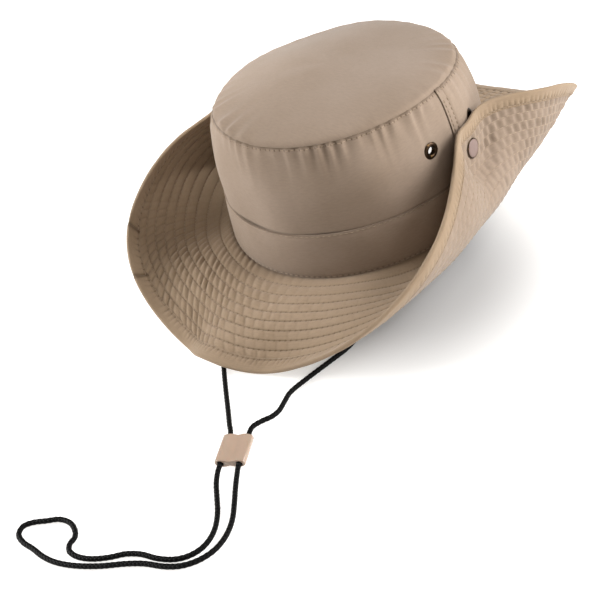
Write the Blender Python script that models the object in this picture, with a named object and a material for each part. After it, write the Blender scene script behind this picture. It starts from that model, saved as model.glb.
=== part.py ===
"""Cotton bush hat with its brim turned up and snapped to the crown at both sides.

The hat stands on the floor (z = 0) with its front toward -Y and its wearer's left
toward +X. All sizes are in metres. The crown is an oval wall of two panels under a
domed top, with a band round its foot. The brim is one cloth ring whose slope, from
the crown out to the hem, follows a short table of angles round the hat.
"""
import math

import bpy
import bmesh
import numpy as np

# Driving sizes of the crown
GAP = 0.0003                 # space kept between two pieces
SEAT = 0.00035               # space under the rims of the metal parts
CLOTH = 0.0016               # crown cloth
BAND_CLOTH = 0.0012
BAND_HEIGHT = 0.032
BASE_HALF_LENGTH = 0.0958    # outer face of the crown wall at its foot, front to back
BASE_HALF_WIDTH = 0.0890     # the same, side to side
BASE_HEIGHT = 0.0197         # foot of the crown above the floor
BASE_TILT = -0.020           # rise of the foot per metre toward the back
BASE_SADDLE = 0.0027         # the foot is lifted at the sides and lowered front and back
LENGTH_TAPER = 0.0118        # the top seam's oval is this much less at each end
WIDTH_TAPER = 0.0119         # and this much less at each side
TOP_HALF_LENGTH = BASE_HALF_LENGTH - LENGTH_TAPER
TOP_HALF_WIDTH = BASE_HALF_WIDTH - WIDTH_TAPER
TOP_HEIGHT = 0.1111          # top seam above the floor
TOP_TILT = -0.029
SLUMP_TURN = -94.0           # where the top seam sinks, in degrees from the front
SLUMP_SPREAD = 54.0
SLUMP = 0.0064
TOP_SADDLE = 0.0022
TOP_FORWARD = 0.0065         # the top seam stands this far in front of the foot
WALL_BULGE = 0.0030          # how far the cloth wall swells between foot and top seam
DOME_RISE = 0.0100           # middle of the top panel above the top seam
PUCKERS = 16                 # gathers where the top panel is eased into the wall
PUCKER_DEPTH = 0.0007

# Soft dents and swells of the crown wall: angle from the front in degrees, height as a
# share of the wall, half spread in degrees, half spread as a share of the wall's height,
# depth as a share of the wall bulge (a minus sign is a dent, a plus sign a swell)
DENTS = (
    (-62.0, 0.74, 13.0, 0.22, -0.70),
    (-30.0, 0.60, 17.0, 0.20, 0.40),
    (8.0, 0.78, 15.0, 0.16, -0.45),
    (47.0, 0.66, 15.0, 0.22, 0.45),
    (58.0, 0.86, 11.0, 0.12, -0.45),
    (128.0, 0.66, 14.0, 0.24, 0.45),
    (150.0, 0.60, 18.0, 0.24, -0.75),
    (-150.0, 0.66, 20.0, 0.22, 0.40),
    (-128.0, 0.76, 13.0, 0.18, -0.60),
)

# Driving sizes of the brim
BRIM_WIDTH = 0.0747          # from the band out to the edge, along the cloth
BRIM_CLOTH = 0.0020
HEM_WIDTH = 0.0100
HEM_CLOTH = 0.0010
TONGUE_CLOTH = 0.0012        # brim cloth where it runs inside the hem
SLOPE_AT = np.array([0.0, 0.38, 0.76, 1.0])   # shares of the brim width for the slopes

# Slope of the brim round the hat. Angle from the front; slope in degrees above level
# where the brim leaves the crown, at the fold, on the snap line and at the edge; and
# how far its run is swept toward the back. The other side of the hat mirrors this.
BRIM_COLUMNS = ("angle", "leave", "fold", "snap", "edge", "sweep")
BRIM_ROWS = np.array([
    (0.0, 2.0, -5.0, -17.0, -17.0, 0.0),
    (20.0, 5.0, -6.0, -32.0, -18.0, -24.0),
    (35.0, 0.0, 1.0, -13.0, 22.0, -26.0),
    (50.0, -18.0, 25.0, 52.0, 97.0, -5.0),
    (70.0, -3.0, 62.0, 112.0, 133.0, 8.0),
    (92.0, -5.0, 122.0, 100.0, 77.0, -3.0),
    (110.0, 5.0, 99.0, 108.0, 94.0, -12.0),
    (130.0, -8.0, 45.0, 81.0, 70.0, -3.0),
    (155.0, -11.0, -3.0, 21.0, 21.0, 2.0),
    (180.0, -10.0, -6.0, -14.0, -18.0, 0.0),
])

# Snaps and eyelets
EYELET_TURN = 15.0           # degrees in front of and behind each side seam
EYELET_HEIGHT = 0.0610       # above the foot of the wall
SNAP_TURN = 95.0             # degrees from the front
SNAP_HEIGHT = 0.0455         # above the foot of the wall
EYELET_RADIUS = 0.0055       # rolled rim
EYELET_BARREL = 0.0032       # outside of the barrel
EYELET_HOLE = 0.0026
SNAP_SHANK = 0.0015          # rivets of the stud and the cap
SNAP_STUD_HEIGHT = 0.0020    # top of the stud in front of the wall
SNAP_FLANGE = 0.0044
SNAP_CUP_FLOOR = 0.00025
SNAP_CAP_RADIUS = 0.0067
# Middle of the brim cloth in front of the wall at the snap: the stud, the cup's floor
# over it and half the cloth
SNAP_STAND = SNAP_STUD_HEIGHT + GAP + SNAP_CUP_FLOOR + SEAT + BRIM_CLOTH / 2
DRILL_REACH = 0.006          # half length of the drill through the wall
SNAP_FLAT = 0.0125           # radius of the brim pressed flat round the snap
SNAP_FADE = 0.0250           # radius where that flat has died out

# Chin cord and slider
CORD_RADIUS = 0.0015
SLIDER_LENGTH = 0.0200
SLIDER_WIDTH = 0.0175
SLIDER_THICK = 0.0056
SLIDER_AT = (0.0570, -0.2168)
SLIDER_TURN = -65.0          # direction of its channels on the floor, degrees from +X
CHANNEL_SPREAD = 0.0054      # each channel's distance from the slider's middle
CHANNEL_RADIUS = 0.0020

# Way of the cord over the floor in millimetres (x, y, height of its middle)
CORD_TO_SLIDER = (
    (-87.0, -2.0, 21.2), (-87.0, -3.0, 15.0), (-86.5, -6.0, 8.0), (-85.0, -13.0, 3.5),
    (-82.0, -24.0, 1.6), (-73.0, -50.0, 1.6), (-58.0, -80.0, 1.6), (-41.0, -107.0, 1.6),
    (-22.0, -132.0, 1.6), (-7.0, -152.0, 1.6), (5.0, -166.0, 1.6), (19.0, -180.5, 1.6),
    (32.0, -193.5, 1.7), (40.5, -202.0, 2.3),
)
CORD_LOOP = (
    (58.5, -233.0, 2.3), (62.5, -239.0, 1.7), (69.0, -246.0, 1.6), (76.0, -253.5, 1.6),
    (81.5, -261.5, 1.6), (84.0, -268.5, 1.6), (84.0, -275.5, 1.6), (81.0, -282.0, 1.6),
    (75.5, -287.0, 1.6), (67.0, -290.5, 1.6), (57.0, -292.5, 1.6), (49.5, -296.0, 1.6),
    (43.0, -301.5, 1.6), (35.0, -306.5, 1.6), (27.0, -309.0, 1.6), (20.0, -308.5, 1.6),
    (16.5, -305.0, 1.6), (16.0, -301.0, 1.6), (12.5, -297.5, 1.6), (6.0, -295.0, 1.6),
    (-1.5, -296.0, 1.6), (-7.5, -300.0, 1.6), (-13.5, -304.0, 1.6), (-17.0, -308.5, 1.6),
    (-15.0, -313.5, 1.6), (-8.5, -316.0, 1.6), (0.0, -316.5, 1.6), (9.0, -317.5, 1.6),
    (18.0, -317.0, 1.6), (29.0, -314.0, 1.6), (42.0, -308.0, 1.6), (54.0, -300.5, 1.6),
    (63.0, -296.0, 1.6), (74.0, -292.5, 1.6), (82.0, -288.0, 1.6), (88.0, -281.0, 1.6),
    (91.0, -272.5, 1.6), (90.5, -263.5, 1.6), (87.0, -254.5, 1.6), (80.5, -245.0, 1.6),
    (74.5, -237.0, 1.7), (69.5, -229.5, 2.3),
)
CORD_FROM_SLIDER = (
    (54.8, -198.5, 2.3), (56.5, -192.0, 1.7), (59.5, -187.0, 1.6), (60.5, -181.5, 1.6),
    (59.0, -174.5, 1.6), (57.5, -167.0, 1.6), (60.0, -153.0, 1.6), (64.0, -136.0, 1.6),
    (67.0, -121.0, 1.6), (66.0, -105.0, 1.6), (63.5, -85.0, 1.6), (65.0, -62.0, 1.6),
    (70.0, -40.0, 1.6), (76.0, -23.0, 1.6), (81.5, -13.0, 3.0), (85.0, -7.5, 7.5),
    (86.6, -4.0, 13.0), (87.0, -2.0, 21.2),
)

def through(x, xs, ys):
    """Smooth curve through the points (xs, ys): each piece is a cubic, and the slope at
    a point is that of the straight line between its two neighbours."""
    slope = np.empty(len(xs))
    slope[1:-1] = (ys[2:] - ys[:-2]) / (xs[2:] - xs[:-2])
    slope[0] = (ys[1] - ys[0]) / (xs[1] - xs[0])
    slope[-1] = (ys[-1] - ys[-2]) / (xs[-1] - xs[-2])
    i = np.clip(np.searchsorted(xs, x, side="right") - 1, 0, len(xs) - 2)
    h = xs[i + 1] - xs[i]
    t = (x - xs[i]) / h
    rise = slope[i] * h * t * (1 - t) ** 2 + slope[i + 1] * h * t * t * (t - 1)
    return ys[i] * (1 + 2 * t) * (1 - t) ** 2 + ys[i + 1] * t * t * (3 - 2 * t) + rise


def round_hat(theta, column):
    """One column of the brim table at any angle round the hat. The rows are mirrored at
    the front and the back; the sweep changes its sign with the side."""
    k = BRIM_COLUMNS.index(column)
    sign = -1.0 if column == "sweep" else 1.0
    xs = BRIM_ROWS[:, 0]
    ys = BRIM_ROWS[:, k]
    xs = np.concatenate([-xs[1:3][::-1], xs, 360.0 - xs[-3:-1][::-1]])
    ys = np.concatenate([sign * ys[1:3][::-1], ys, sign * ys[-3:-1][::-1]])
    value = through(np.degrees(np.abs(theta)), xs, ys)
    return np.sign(theta) * value if column == "sweep" else value


def oval(theta, half_length, half_width):
    """Ellipse in polar form: angle 0 is the front (-Y) and 90 degrees the side (+X)."""
    c = np.cos(theta)
    s = np.sin(theta)
    r = 1.0 / np.sqrt((s / half_width) ** 2 + (c / half_length) ** 2)
    return r * s, -r * c


def outward(theta):
    """Level unit normal of the foot oval at an angle, and its turn from the front."""
    x, y = oval(theta, BASE_HALF_LENGTH, BASE_HALF_WIDTH)
    turn = np.arctan2(x / BASE_HALF_WIDTH ** 2, -y / BASE_HALF_LENGTH ** 2)
    return np.stack([np.sin(turn), -np.cos(turn), 0.0 * turn], -1), turn


def foot_height(theta, y):
    return BASE_HEIGHT + BASE_TILT * y - BASE_SADDLE * np.cos(2 * theta)


def seam_height(theta, y):
    return TOP_HEIGHT + TOP_TILT * y - TOP_SADDLE * np.cos(2 * theta)


def puckers(theta):
    """Gathers along the top seam: a sine wave round the hat with every other wave
    weaker."""
    return np.sin(PUCKERS * theta) * (0.75 + 0.25 * np.cos(PUCKERS * theta / 2))


def wall(theta, share, out=0.0):
    """Outer face of the crown wall: straight lines from the foot oval to the top oval,
    swelled outward like half a sine wave that is fullest above mid-height, with the soft
    dents and, next to the top seam, the gathers. Its upper part sinks where the crown
    has slumped. The last number moves it along the level normal."""
    theta, share = np.broadcast_arrays(np.asarray(theta, float), np.asarray(share, float))
    xb, yb = oval(theta, BASE_HALF_LENGTH, BASE_HALF_WIDTH)
    xt, yt = oval(theta, TOP_HALF_LENGTH, TOP_HALF_WIDTH)
    zb = foot_height(theta, yb)
    zt = seam_height(theta, yt)
    base = np.stack([xb, yb, zb], -1)
    top = np.stack([xt, yt - TOP_FORWARD, zt], -1)
    normal, _ = outward(theta)
    swell = WALL_BULGE * np.sin(np.pi * share ** 2) * (0.75 - 0.25 * np.cos(theta))
    degrees = np.degrees(theta)
    for angle, high, spread, tall, depth in DENTS:
        turn = (degrees - angle + 180.0) % 360.0 - 180.0
        dent = np.exp(-(turn / spread) ** 2 - ((share - high) / tall) ** 2)
        swell = swell + depth * WALL_BULGE * dent * np.clip((1 - share) / 0.1, 0, 1)
    swell = swell + PUCKER_DEPTH * puckers(theta) * np.clip((share - 0.82) / 0.18, 0, 1) ** 2
    points = base + (top - base) * share[..., None] + normal * (swell + out)[..., None]
    turn = (degrees - SLUMP_TURN + 180.0) % 360.0 - 180.0
    sunk = SLUMP * np.exp(-(turn / SLUMP_SPREAD) ** 4) * np.clip(share, 0, 1) ** 3
    return points - sunk[..., None] * np.array([0.0, 0.0, 1.0])


def wall_frame(turn_degrees, above_foot):
    """Point on the wall's outer face at a height above its foot, and the direction
    square to the wall there."""
    theta = np.radians(turn_degrees)
    share = above_foot / (TOP_HEIGHT - BASE_HEIGHT)
    step = 0.01
    here = wall(theta, share)
    along = wall(theta + step, share) - wall(theta - step, share)
    up = wall(theta, share + step) - wall(theta, share - step)
    axis = np.cross(along, up)
    return here, axis / np.linalg.norm(axis)


def press_flat(points):
    """Press the brim flat round both snaps: the distance from the plane through the snap
    fades in from the far radius and is fully taken away inside the near one."""
    points = points.copy()
    for side in (1.0, -1.0):
        here, axis = wall_frame(side * SNAP_TURN, SNAP_HEIGHT)
        axis = axis * np.sign(axis[0] * side)
        centre = here + axis * SNAP_STAND
        away = points - centre
        height = away @ axis
        reach = np.linalg.norm(away - height[..., None] * axis, axis=-1)
        near = np.abs(height) < 0.02
        t = np.clip((SNAP_FADE - reach) / (SNAP_FADE - SNAP_FLAT), 0, 1)
        weight = np.where(near, t * t * (3 - 2 * t), 0.0)
        points = points - (weight * height)[..., None] * axis
    return points


def brim(theta, share):
    """Middle of the brim cloth: from the band outward, the cloth climbs with a slope
    that runs smoothly through the four slopes of the table, so every line across the
    brim keeps its real length; both snaps then press it flat."""
    columns = [np.radians(round_hat(theta, c)) for c in BRIM_COLUMNS[1:]]
    slopes = np.stack(columns[:4], 1)
    sweep = columns[4]
    fine = np.linspace(0.0, 1.0, 121)
    angle = np.empty((len(theta), len(fine)))
    for i in range(len(theta)):
        angle[i] = through(fine, SLOPE_AT, slopes[i])
    middle = 0.5 * (angle[:, 1:] + angle[:, :-1])
    step = BRIM_WIDTH * np.diff(fine)
    zero = np.zeros((len(theta), 1))
    run = np.concatenate([zero, np.cumsum(np.cos(middle) * step, 1)], 1)
    climb = np.concatenate([zero, np.cumsum(np.sin(middle) * step, 1)], 1)
    normal, turn = outward(theta)
    start = wall(theta, 0.0, GAP + BAND_CLOTH + GAP)
    heading = turn + sweep
    points = np.empty((len(theta), len(share), 3))
    for i in range(len(theta)):
        r = np.interp(share, fine, run[i])
        points[i, :, 0] = start[i, 0] + r * np.sin(heading[i])
        points[i, :, 1] = start[i, 1] - r * np.cos(heading[i])
        points[i, :, 2] = start[i, 2] + np.interp(share, fine, climb[i])
    return press_flat(points)


def brim_normals(theta, share):
    """Unit normals of the brim's middle surface, on the side that faces up when flat."""
    d = 0.004
    round_step = brim(theta + d, share) - brim(theta - d, share)
    low = np.clip(share - 0.01, 0, 1)
    high = np.clip(share + 0.01, 0, 1)
    across = brim(theta, high) - brim(theta, low)
    normal = np.cross(across, round_step)
    return normal / np.linalg.norm(normal, axis=-1, keepdims=True)


def dome(theta, radius):
    """Top panel: over a share of the top oval's radius it rises like a flattened
    half-ellipse; the gathers of the seam run a little way in."""
    theta, radius = np.broadcast_arrays(np.asarray(theta, float), np.asarray(radius, float))
    rim = wall(theta, 1.0)
    middle = np.array([0.0, -TOP_FORWARD, TOP_HEIGHT])
    rise = DOME_RISE * (1 - radius ** 2.6) ** 0.72
    ripple = PUCKER_DEPTH * puckers(theta) * np.clip((radius - 0.55) / 0.45, 0, 1) ** 2
    points = middle + (rim - middle) * radius[..., None]
    lift = rise + ripple * (1 - radius) * 3.0 + GAP
    return points + lift[..., None] * np.array([0.0, 0.0, 1.0])


def stations(count):
    """Angles round the hat that share out the brim's edge and foot evenly: equal steps
    of the mean of both lengths."""
    fine = np.radians(np.linspace(-180.0, 180.0, 361))
    lines = brim(fine, np.array([0.0, 1.0]))
    steps = np.linalg.norm(np.diff(lines, axis=0), axis=2).mean(axis=1)
    along = np.concatenate([[0.0], np.cumsum(steps)])
    return np.interp(np.arange(count) * along[-1] / count, along, fine)


def hem_sections(theta):
    """Folded hem: a U wrapped round the thin tongue at the brim's edge, one closed
    section for each angle."""
    hem = 1.0 - HEM_WIDTH / BRIM_WIDTH
    share = np.array([hem + 0.004, 0.985, 1.0])
    middle = brim(theta, share)
    normal = brim_normals(theta, share)
    inner = 0.5 * TONGUE_CLOTH + GAP
    outer = inner + HEM_CLOTH
    tip = middle[:, 2] - middle[:, 1]
    tip = tip / np.linalg.norm(tip, axis=-1, keepdims=True) * 0.0004
    a, b, c = middle[:, 0], middle[:, 1], middle[:, 2]
    na, nb = normal[:, 0], normal[:, 1]
    return np.stack([
        a + na * outer, b + nb * outer, c, b - nb * outer, a - na * outer,
        a - na * inner, b + tip - nb * inner, b + tip + nb * inner, a + na * inner,
    ], 1)


def standing_shift():
    """How far the hat is moved so that its hem is centred along Y and rests on the
    floor."""
    points = hem_sections(stations(80)).reshape(-1, 3)
    middle = -0.5 * (points[:, 1].min() + points[:, 1].max())
    return np.array([0.0, middle, -points[:, 2].min()])


# Mesh builders

def make_object(name, vertices, faces, shift):
    mesh = bpy.data.meshes.new(name)
    moved = np.asarray(vertices, float) + shift
    mesh.from_pydata([tuple(v) for v in moved], [], [tuple(f) for f in faces])
    mesh.update()
    work = bmesh.new()
    work.from_mesh(mesh)
    bmesh.ops.recalc_face_normals(work, faces=work.faces)
    work.to_mesh(mesh)
    work.free()
    thing = bpy.data.objects.new(name, mesh)
    bpy.context.scene.collection.objects.link(thing)
    return thing


def sheet_solid(name, front, back, closed, shift):
    """A cloth wall between two grids of the same size, closed at its borders. Every
    four-sided cell is split along the same diagonal."""
    n, m = front.shape[:2]
    vertices = np.concatenate([front.reshape(-1, 3), back.reshape(-1, 3)])
    half = n * m
    faces = []
    last = n if closed else n - 1
    for i in range(last):
        j = (i + 1) % n
        for k in range(m - 1):
            a, b, c, d = i * m + k, j * m + k, j * m + k + 1, i * m + k + 1
            faces += [(a, b, c), (a, c, d)]
            faces += [(half + c, half + b, half + a), (half + d, half + c, half + a)]
        faces.append((i * m, half + i * m, half + j * m, j * m))
        e, f = i * m + m - 1, j * m + m - 1
        faces.append((f, half + f, half + e, e))
    if not closed:
        for k in range(m - 1):
            faces.append((k + 1, half + k + 1, half + k, k))
            a = (n - 1) * m + k
            faces.append((a, half + a, half + a + 1, a + 1))
    return make_object(name, vertices, faces, shift)


def cap_solid(name, front, back, shift):
    """A cloth cap: each grid runs from its rim (last column) to one middle point, which
    is the mean of its first column."""
    n, m = front.shape[:2]
    vertices = []
    faces = []
    for grid, flip in ((front, False), (back, True)):
        start = len(vertices)
        vertices.append(grid[:, 0].mean(axis=0))
        for i in range(n):
            for k in range(1, m):
                vertices.append(grid[i, k])
        for i in range(n):
            j = (i + 1) % n
            a = start + 1 + i * (m - 1)
            b = start + 1 + j * (m - 1)
            ring = [(start, a, b)]
            ring += [(a + k, a + k + 1, b + k + 1, b + k) for k in range(m - 2)]
            faces += [f[::-1] if flip else f for f in ring]
    half = 1 + n * (m - 1)
    for i in range(n):
        j = (i + 1) % n
        a = 1 + i * (m - 1) + m - 2
        b = 1 + j * (m - 1) + m - 2
        faces.append((a, half + a, half + b, b))
    return make_object(name, vertices, faces, shift)


def ring_solid(name, sections, shift, crossed=()):
    """A closed ring swept through a list of closed sections. The cells are split along
    one diagonal, and those of the crossed rows along the other."""
    n, m = sections.shape[:2]
    vertices = sections.reshape(-1, 3)
    faces = []
    for i in range(n):
        j = (i + 1) % n
        for k in range(m):
            q = (k + 1) % m
            a, b, c, d = i * m + k, j * m + k, j * m + q, i * m + q
            faces += [(a, b, d), (b, c, d)] if k in crossed else [(a, b, c), (a, c, d)]
    return make_object(name, vertices, faces, shift)


def turned_solid(name, profile, centre, axis, sides, shift, ring=False):
    """A part turned round an axis from (radius, height) points. A ring's profile is
    closed; any other one starts and ends on the axis."""
    axis = axis / np.linalg.norm(axis)
    first = np.cross(axis, np.array([0.0, 0.0, 1.0]))
    first = first / np.linalg.norm(first)
    second = np.cross(axis, first)
    turn = np.arange(sides) * 2 * math.pi / sides
    spoke = np.cos(turn)[:, None] * first + np.sin(turn)[:, None] * second
    profile = np.asarray(profile, float)
    if ring:
        grid = centre + spoke[:, None] * profile[None, :, 0:1] + profile[None, :, 1:2] * axis
        return ring_solid(name, grid, shift)
    inner = profile[1:-1]
    grid = centre + spoke[:, None] * inner[None, :, 0:1] + inner[None, :, 1:2] * axis
    m = len(inner)
    vertices = list(grid.reshape(-1, 3))
    vertices.append(centre + profile[0, 1] * axis)
    vertices.append(centre + profile[-1, 1] * axis)
    faces = []
    for i in range(sides):
        j = (i + 1) % sides
        faces.append((sides * m, i * m, j * m))
        faces.append((sides * m + 1, j * m + m - 1, i * m + m - 1))
        for k in range(m - 1):
            faces.append((i * m + k, i * m + k + 1, j * m + k + 1, j * m + k))
    return make_object(name, vertices, faces, shift)


def drill(thing, centre, axis, radius, depth, shift):
    """Cut a round hole right through a piece."""
    profile = [(0, -depth), (radius, -depth), (radius, depth), (0, depth)]
    tool = turned_solid("drill", profile, centre, axis, 12, shift)
    cut = thing.modifiers.new("hole", "BOOLEAN")
    cut.operation = "DIFFERENCE"
    cut.solver = "EXACT"
    cut.object = tool
    bpy.context.view_layer.update()
    done = thing.evaluated_get(bpy.context.evaluated_depsgraph_get())
    mesh = bpy.data.meshes.new_from_object(done)
    thing.modifiers.clear()
    old = thing.data
    thing.data = mesh
    bpy.data.meshes.remove(old)
    mesh.name = thing.name
    tool_mesh = tool.data
    bpy.data.objects.remove(tool)
    bpy.data.meshes.remove(tool_mesh)


def paint(thing, name, hex_colour, rough, metal=0.0):
    """Give a piece a plain material; the colour is an sRGB hex."""
    material = bpy.data.materials.get(name)
    if material is None:
        material = bpy.data.materials.new(name)
        material.use_nodes = True
        shader = material.node_tree.nodes["Principled BSDF"]
        parts = [int(hex_colour[i:i + 2], 16) / 255 for i in (0, 2, 4)]
        linear = [p / 12.92 if p <= 0.04045 else ((p + 0.055) / 1.055) ** 2.4 for p in parts]
        shader.inputs["Base Color"].default_value = (*linear, 1.0)
        shader.inputs["Roughness"].default_value = rough
        shader.inputs["Metallic"].default_value = metal
        material.diffuse_color = (*linear, 1.0)
    thing.data.materials.clear()
    thing.data.materials.append(material)


# Pieces

def crown_panel(name, middle_degrees, shift):
    """Half of the crown wall, from one side seam to the other."""
    trim = math.degrees(GAP / 2 / TOP_HALF_WIDTH)
    theta = np.radians(np.linspace(middle_degrees - 90 + trim, middle_degrees + 90 - trim, 29))
    share = np.array([0.0, 0.18, 0.36, 0.51, 0.667, 0.84, 1.0])
    front = wall(theta[:, None], share[None])
    back = wall(theta[:, None], share[None], -CLOTH)
    return sheet_solid(name, front, back, False, shift)


def crown_top(shift):
    theta = np.radians(np.arange(56) * 360.0 / 56)
    radius = np.array([0.0, 0.35, 0.62, 0.82, 0.94, 1.0])
    front = dome(theta[:, None], radius[None])
    lower = np.array([0.0, 0.34, 0.60, 0.795, 0.915, 0.98])
    back = dome(theta[:, None], lower[None]) - np.array([0.0, 0.0, CLOTH])
    low = front[:, -1, 2] + 0.0002
    back[:, -1, 2] = np.maximum(back[:, -1, 2], low)
    return cap_solid("crown_top", front, back, shift)


def hat_band(shift):
    theta = np.radians(np.arange(56) * 360.0 / 56)
    height = TOP_HEIGHT - BASE_HEIGHT
    share = np.array([0.0, 0.18, BAND_HEIGHT / height])
    front = wall(theta[:, None], share[None], GAP + BAND_CLOTH)
    back = wall(theta[:, None], share[None], GAP)
    return sheet_solid("hat_band", front, back, True, shift)


def brim_solid(shift):
    theta = stations(80)
    hem = 1.0 - HEM_WIDTH / BRIM_WIDTH
    step = 0.35 * BRIM_CLOTH / BRIM_WIDTH
    share = np.array([0.0, 0.13, 0.26, 0.39, 0.52, 0.65, 0.76, hem - step, hem - 0.5 * step, 0.985])
    half = np.array([0.5] * 8 + [0.0] * 2) * BRIM_CLOTH
    half[8:] = 0.5 * TONGUE_CLOTH
    middle = brim(theta, share)
    normal = brim_normals(theta, share)
    normal[:, 0] = (0.0, 0.0, 1.0)
    front = middle + normal * half[None, :, None]
    back = middle - normal * half[None, :, None]
    return sheet_solid("brim", front, back, True, shift)


def binding_solid(shift):
    sections = hem_sections(stations(80))
    return ring_solid("brim_binding", sections, shift, crossed=(3, 7))


def eyelet(name, turn, shift):
    """Brass ring that clamps a hole in the crown wall: a rolled face, a barrel through
    the cloth and a thin washer behind it."""
    here, axis = wall_frame(turn, EYELET_HEIGHT)
    axis = axis * np.sign(axis[0] * math.sin(math.radians(turn)))
    rim = EYELET_RADIUS
    washer = -CLOTH - SEAT - 0.0001
    behind = washer - SEAT
    profile = [
        (EYELET_HOLE, SEAT + 0.00045), (0.64 * rim, SEAT + 0.00075),
        (0.87 * rim, SEAT + 0.0005), (rim, SEAT), (EYELET_BARREL, SEAT),
        (EYELET_BARREL, washer), (0.87 * rim, washer), (0.87 * rim, behind),
        (EYELET_HOLE, behind),
    ]
    return turned_solid(name, profile, here, axis, 12, shift, ring=True), here, axis


def snap_frame(side):
    here, axis = wall_frame(side * SNAP_TURN, SNAP_HEIGHT)
    return here, axis * np.sign(axis[0] * side)


def snap_stud(name, side, shift):
    """Stud of the snap: a waisted post on a flange in front of the wall, riveted to a
    washer behind it."""
    here, axis = snap_frame(side)
    high = SNAP_STUD_HEIGHT
    flange = SEAT + 0.0006
    washer = -CLOTH - SEAT
    profile = [
        (0, high), (SNAP_SHANK, high), (SNAP_SHANK + 0.0004, high - 0.0005),
        (SNAP_SHANK, flange), (SNAP_FLANGE, flange), (SNAP_FLANGE, SEAT),
        (SNAP_SHANK, SEAT), (SNAP_SHANK, washer), (SNAP_FLANGE + 0.0002, washer),
        (SNAP_FLANGE + 0.0002, washer - 0.00045), (0, washer - 0.00045),
    ]
    return turned_solid(name, profile, here, axis, 12, shift)


def snap_cap(name, side, shift):
    """Snap socket on the brim: a cup toward the crown, a shank through the brim and the
    domed cap on the brim's lower face."""
    here, axis = snap_frame(side)
    roof = SNAP_STUD_HEIGHT + GAP
    lip = SEAT + 0.0006 + SEAT
    hollow = SNAP_SHANK + 0.0008
    inner = SNAP_STAND - BRIM_CLOTH / 2 - SEAT
    outer = SNAP_STAND + BRIM_CLOTH / 2 + SEAT
    cap = SNAP_CAP_RADIUS
    profile = [
        (0, roof), (hollow, roof), (hollow, lip), (SNAP_FLANGE, lip), (SNAP_FLANGE, inner),
        (SNAP_SHANK, inner), (SNAP_SHANK, outer), (cap, outer), (cap, outer + 0.00045),
        (0.73 * cap, outer + 0.00115), (0, outer + 0.00135),
    ]
    return turned_solid(name, profile, here, axis, 16, shift)


def slider_frame():
    turn = math.radians(SLIDER_TURN)
    along = np.array([math.cos(turn), math.sin(turn), 0.0])
    across = np.array([-math.sin(turn), math.cos(turn), 0.0])
    centre = np.array([SLIDER_AT[0], SLIDER_AT[1], SLIDER_THICK / 2])
    return centre, along, across


def cord_points():
    """The cord's whole way: from under the right side of the crown, out under the front
    brim, through the slider, round its loop, back through the slider and under the hat to
    the left side."""
    centre, along, across = slider_frame()
    centre = centre * 1000
    half = SLIDER_LENGTH * 500 + 1.0
    spread = CHANNEL_SPREAD * 1000
    inward = [centre - along * half - across * spread, centre + along * half - across * spread]
    back = [centre + along * half + across * spread, centre - along * half + across * spread]
    way = list(CORD_TO_SLIDER) + [tuple(p) for p in inward] + list(CORD_LOOP)
    way += [tuple(p) for p in back] + list(CORD_FROM_SLIDER)
    return np.array(way) * 0.001


def chin_cord(shift):
    way = cord_points() + shift
    curve = bpy.data.curves.new("chin_cord", "CURVE")
    curve.dimensions = "3D"
    curve.bevel_depth = CORD_RADIUS
    curve.bevel_resolution = 2
    curve.use_fill_caps = True
    line = curve.splines.new("POLY")
    line.points.add(len(way) - 1)
    for point, place in zip(line.points, way):
        point.co = (*place, 1.0)
    thing = bpy.data.objects.new("chin_cord", curve)
    bpy.context.scene.collection.objects.link(thing)
    return thing


def cord_slider(shift):
    """Flat sleeve with rounded sides and two channels for the cord."""
    centre, along, across = slider_frame()
    up = np.array([0.0, 0.0, 1.0])
    count = 16
    turn = np.arange(count) * 2 * math.pi / count
    x = np.sign(np.cos(turn)) * np.abs(np.cos(turn)) ** 0.55 * SLIDER_WIDTH / 2
    y = np.sign(np.sin(turn)) * np.abs(np.sin(turn)) ** 0.55 * SLIDER_THICK / 2
    section = x[:, None] * across + y[:, None] * up
    ends = (-0.5 * SLIDER_LENGTH, 0.5 * SLIDER_LENGTH)
    rings = [centre + along * end + section * 0.93 for end in ends]
    wide = [centre + along * (end * 0.93) + section for end in ends]
    loops = [rings[0], wide[0], wide[1], rings[1]]
    vertices = np.concatenate(loops)
    faces = [tuple(range(count))[::-1], tuple(range(3 * count, 4 * count))]
    for level in range(3):
        for i in range(count):
            j = (i + 1) % count
            a = level * count
            faces.append((a + i, a + j, a + count + j, a + count + i))
    thing = make_object("cord_slider", vertices, faces, shift)
    for side in (-1.0, 1.0):
        place = centre + across * side * CHANNEL_SPREAD
        drill(thing, place, along, CHANNEL_RADIUS, SLIDER_LENGTH, shift)
    return thing


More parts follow.
